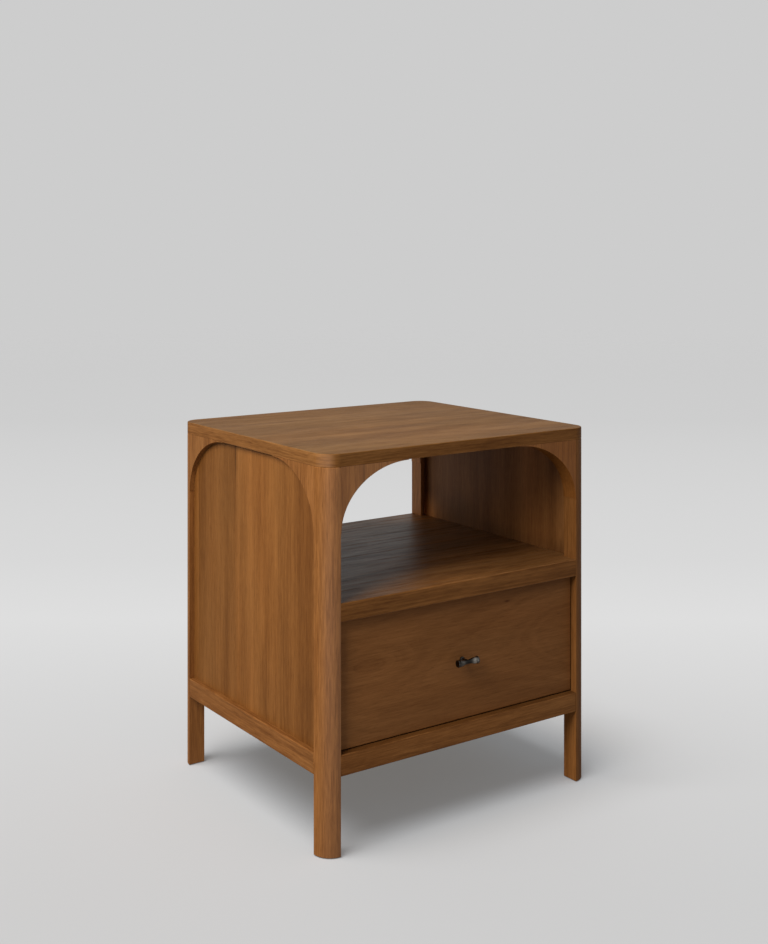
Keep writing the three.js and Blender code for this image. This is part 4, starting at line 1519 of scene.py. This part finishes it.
# the warm light thrown back from under the cabinet is balanced by a cooler floor there
under = g.mul(
    g.mul(
        g.remap(fx, -0.30, -0.10, 0.0, 1.0, smooth=True),
        g.remap(fx, 0.22, 0.44, 1.0, 0.0, smooth=True),
    ),
    g.mul(
        g.remap(fy, -0.29, -0.10, 0.0, 1.0, smooth=True),
        g.remap(fy, 0.12, 0.30, 1.0, 0.0, smooth=True),
    ),
)
balance = g.mix(under, (1.0, 1.0, 1.0, 1), (0.92, 1.0, 1.085, 1))
g.put(
    diffuse.inputs["Color"],
    g.mix(1.0, g.mix(1.0, tone, balance, "MULTIPLY"), g.grey(g.mul(held, SHADOWED)), "MULTIPLY"),
)
glow = g.node("ShaderNodeEmission")
g.put(glow.inputs["Color"], tone)
g.put(glow.inputs["Strength"], g.mul(held, STEADY))
both = g.node("ShaderNodeAddShader")
g.put(both.inputs[0], diffuse.outputs[0])
g.put(both.inputs[1], glow.outputs[0])
clear = g.node("ShaderNodeBsdfTransparent")
away = g.math("SQRT", g.add(g.mul(fx, fx), g.mul(fy, fy)))
fade = g.remap(away, 6.0, 13.0, 0.0, 1.0, smooth=True)
hide = g.math("MAXIMUM", fade, pos.outputs["Backfacing"])
blend = g.node("ShaderNodeMixShader")
g.put(blend.inputs[0], hide)
g.put(blend.inputs[1], both.outputs[0])
g.put(blend.inputs[2], clear.outputs[0])
out = g.node("ShaderNodeOutputMaterial")
g.put(out.inputs["Surface"], blend.outputs[0])
me.materials.append(mat)

# surroundings: what the camera sees, what polish reflects and what fills shade
world = bpy.data.worlds.new("Studio")
scene.world = world
world.use_nodes = True
world.node_tree.nodes.clear()
g = Graph(world.node_tree)
path = g.node("ShaderNodeLightPath")


def sky(colour, strength):
    n = g.node("ShaderNodeBackground")
    n.inputs["Color"].default_value = (*colour, 1)
    n.inputs["Strength"].default_value = strength
    return n.outputs[0]


def choose(fac, a, b):
    n = g.node("ShaderNodeMixShader")
    g.put(n.inputs[0], fac)
    g.put(n.inputs[1], a)
    g.put(n.inputs[2], b)
    return n.outputs[0]


seen = sky((1, 1, 1.0), linear(205))
fill = sky((1.0, 1.0, 1.0), SKY_DIFFUSE)
shine = sky((0.96, 0.99, 1.0), 0.48)
out = g.node("ShaderNodeOutputWorld")
g.put(
    out.inputs["Surface"],
    choose(
        path.outputs["Is Camera Ray"],
        choose(path.outputs["Is Glossy Ray"], fill, shine),
        seen,
    ),
)

def lamp(name, kind, location, aim, **props):
    d = bpy.data.lights.new(name, kind)
    o = bpy.data.objects.new(name, d)
    scene.collection.objects.link(o)
    o.location = location
    o.rotation_mode = "QUATERNION"
    o.rotation_quaternion = (Vector(aim) - Vector(location)).to_track_quat("-Z", "Y")
    for key, value in props.items():
        setattr(d, key, value)
    return o


def members(name, wanted):
    c = bpy.data.collections.new(name)
    for o in scene.objects:
        if o.type == "MESH" and wanted(o):
            c.objects.link(o)
    return c


def from_side(azimuth, elevation, distance):
    """A place for a lamp; azimuth 0 is over -X and 90 over -Y."""
    a, e = math.radians(azimuth), math.radians(elevation)
    return Vector((-math.cos(a) * math.cos(e), -math.sin(a) * math.cos(e), math.sin(e))) * distance


cabinet_only = members("Cabinet", lambda o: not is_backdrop(o))
floor_only = members("Floor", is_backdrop)
HIGH = ("top_panel", "shelf", "side_panel", "bracket", "back_panel", "batten")
low_parts = members(
    "Low parts", lambda o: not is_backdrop(o) and not o.name.startswith(HIGH)
)

# the floor's own soft light, from above and a little left
pool = lamp(
    "pool", "SUN", (-0.50, -0.07, 1.0), (0, 0, 0),
    energy=SUN_FLOOR * math.pi, angle=math.radians(46),
)
pool.light_linking.receiver_collection = floor_only
pool.light_linking.blocker_collection = low_parts
# the key, a soft box high on the left and a little in front
KEY_AT, KEY_D = (18.5, 38.0), 3.0
aim = Vector((0, 0, 0.35))
key = lamp(
    "key", "AREA", aim + from_side(*KEY_AT, KEY_D), aim,
    energy=1.0 * math.pi * math.pi * KEY_D**2, shape="SQUARE", size=1.5,
)
key.light_linking.receiver_collection = cabinet_only
key.visible_glossy = False
# a faint wash from behind, on the left, that reaches in through the open back
BACK_AT, BACK_D = (-46.0, 12.0), 2.6
aim = Vector((0, 0, 0.45))
rear = lamp(
    "rear", "AREA", aim + from_side(*BACK_AT, BACK_D), aim,
    energy=0.085 * math.pi * math.pi * BACK_D**2, shape="SQUARE", size=1.8,
)
rear.light_linking.receiver_collection = cabinet_only
rear.visible_glossy = False

scene.view_settings.view_transform = "Standard"
scene.view_settings.look = "None"
scene.view_settings.exposure = 0.0
scene.view_settings.gamma = 1.0
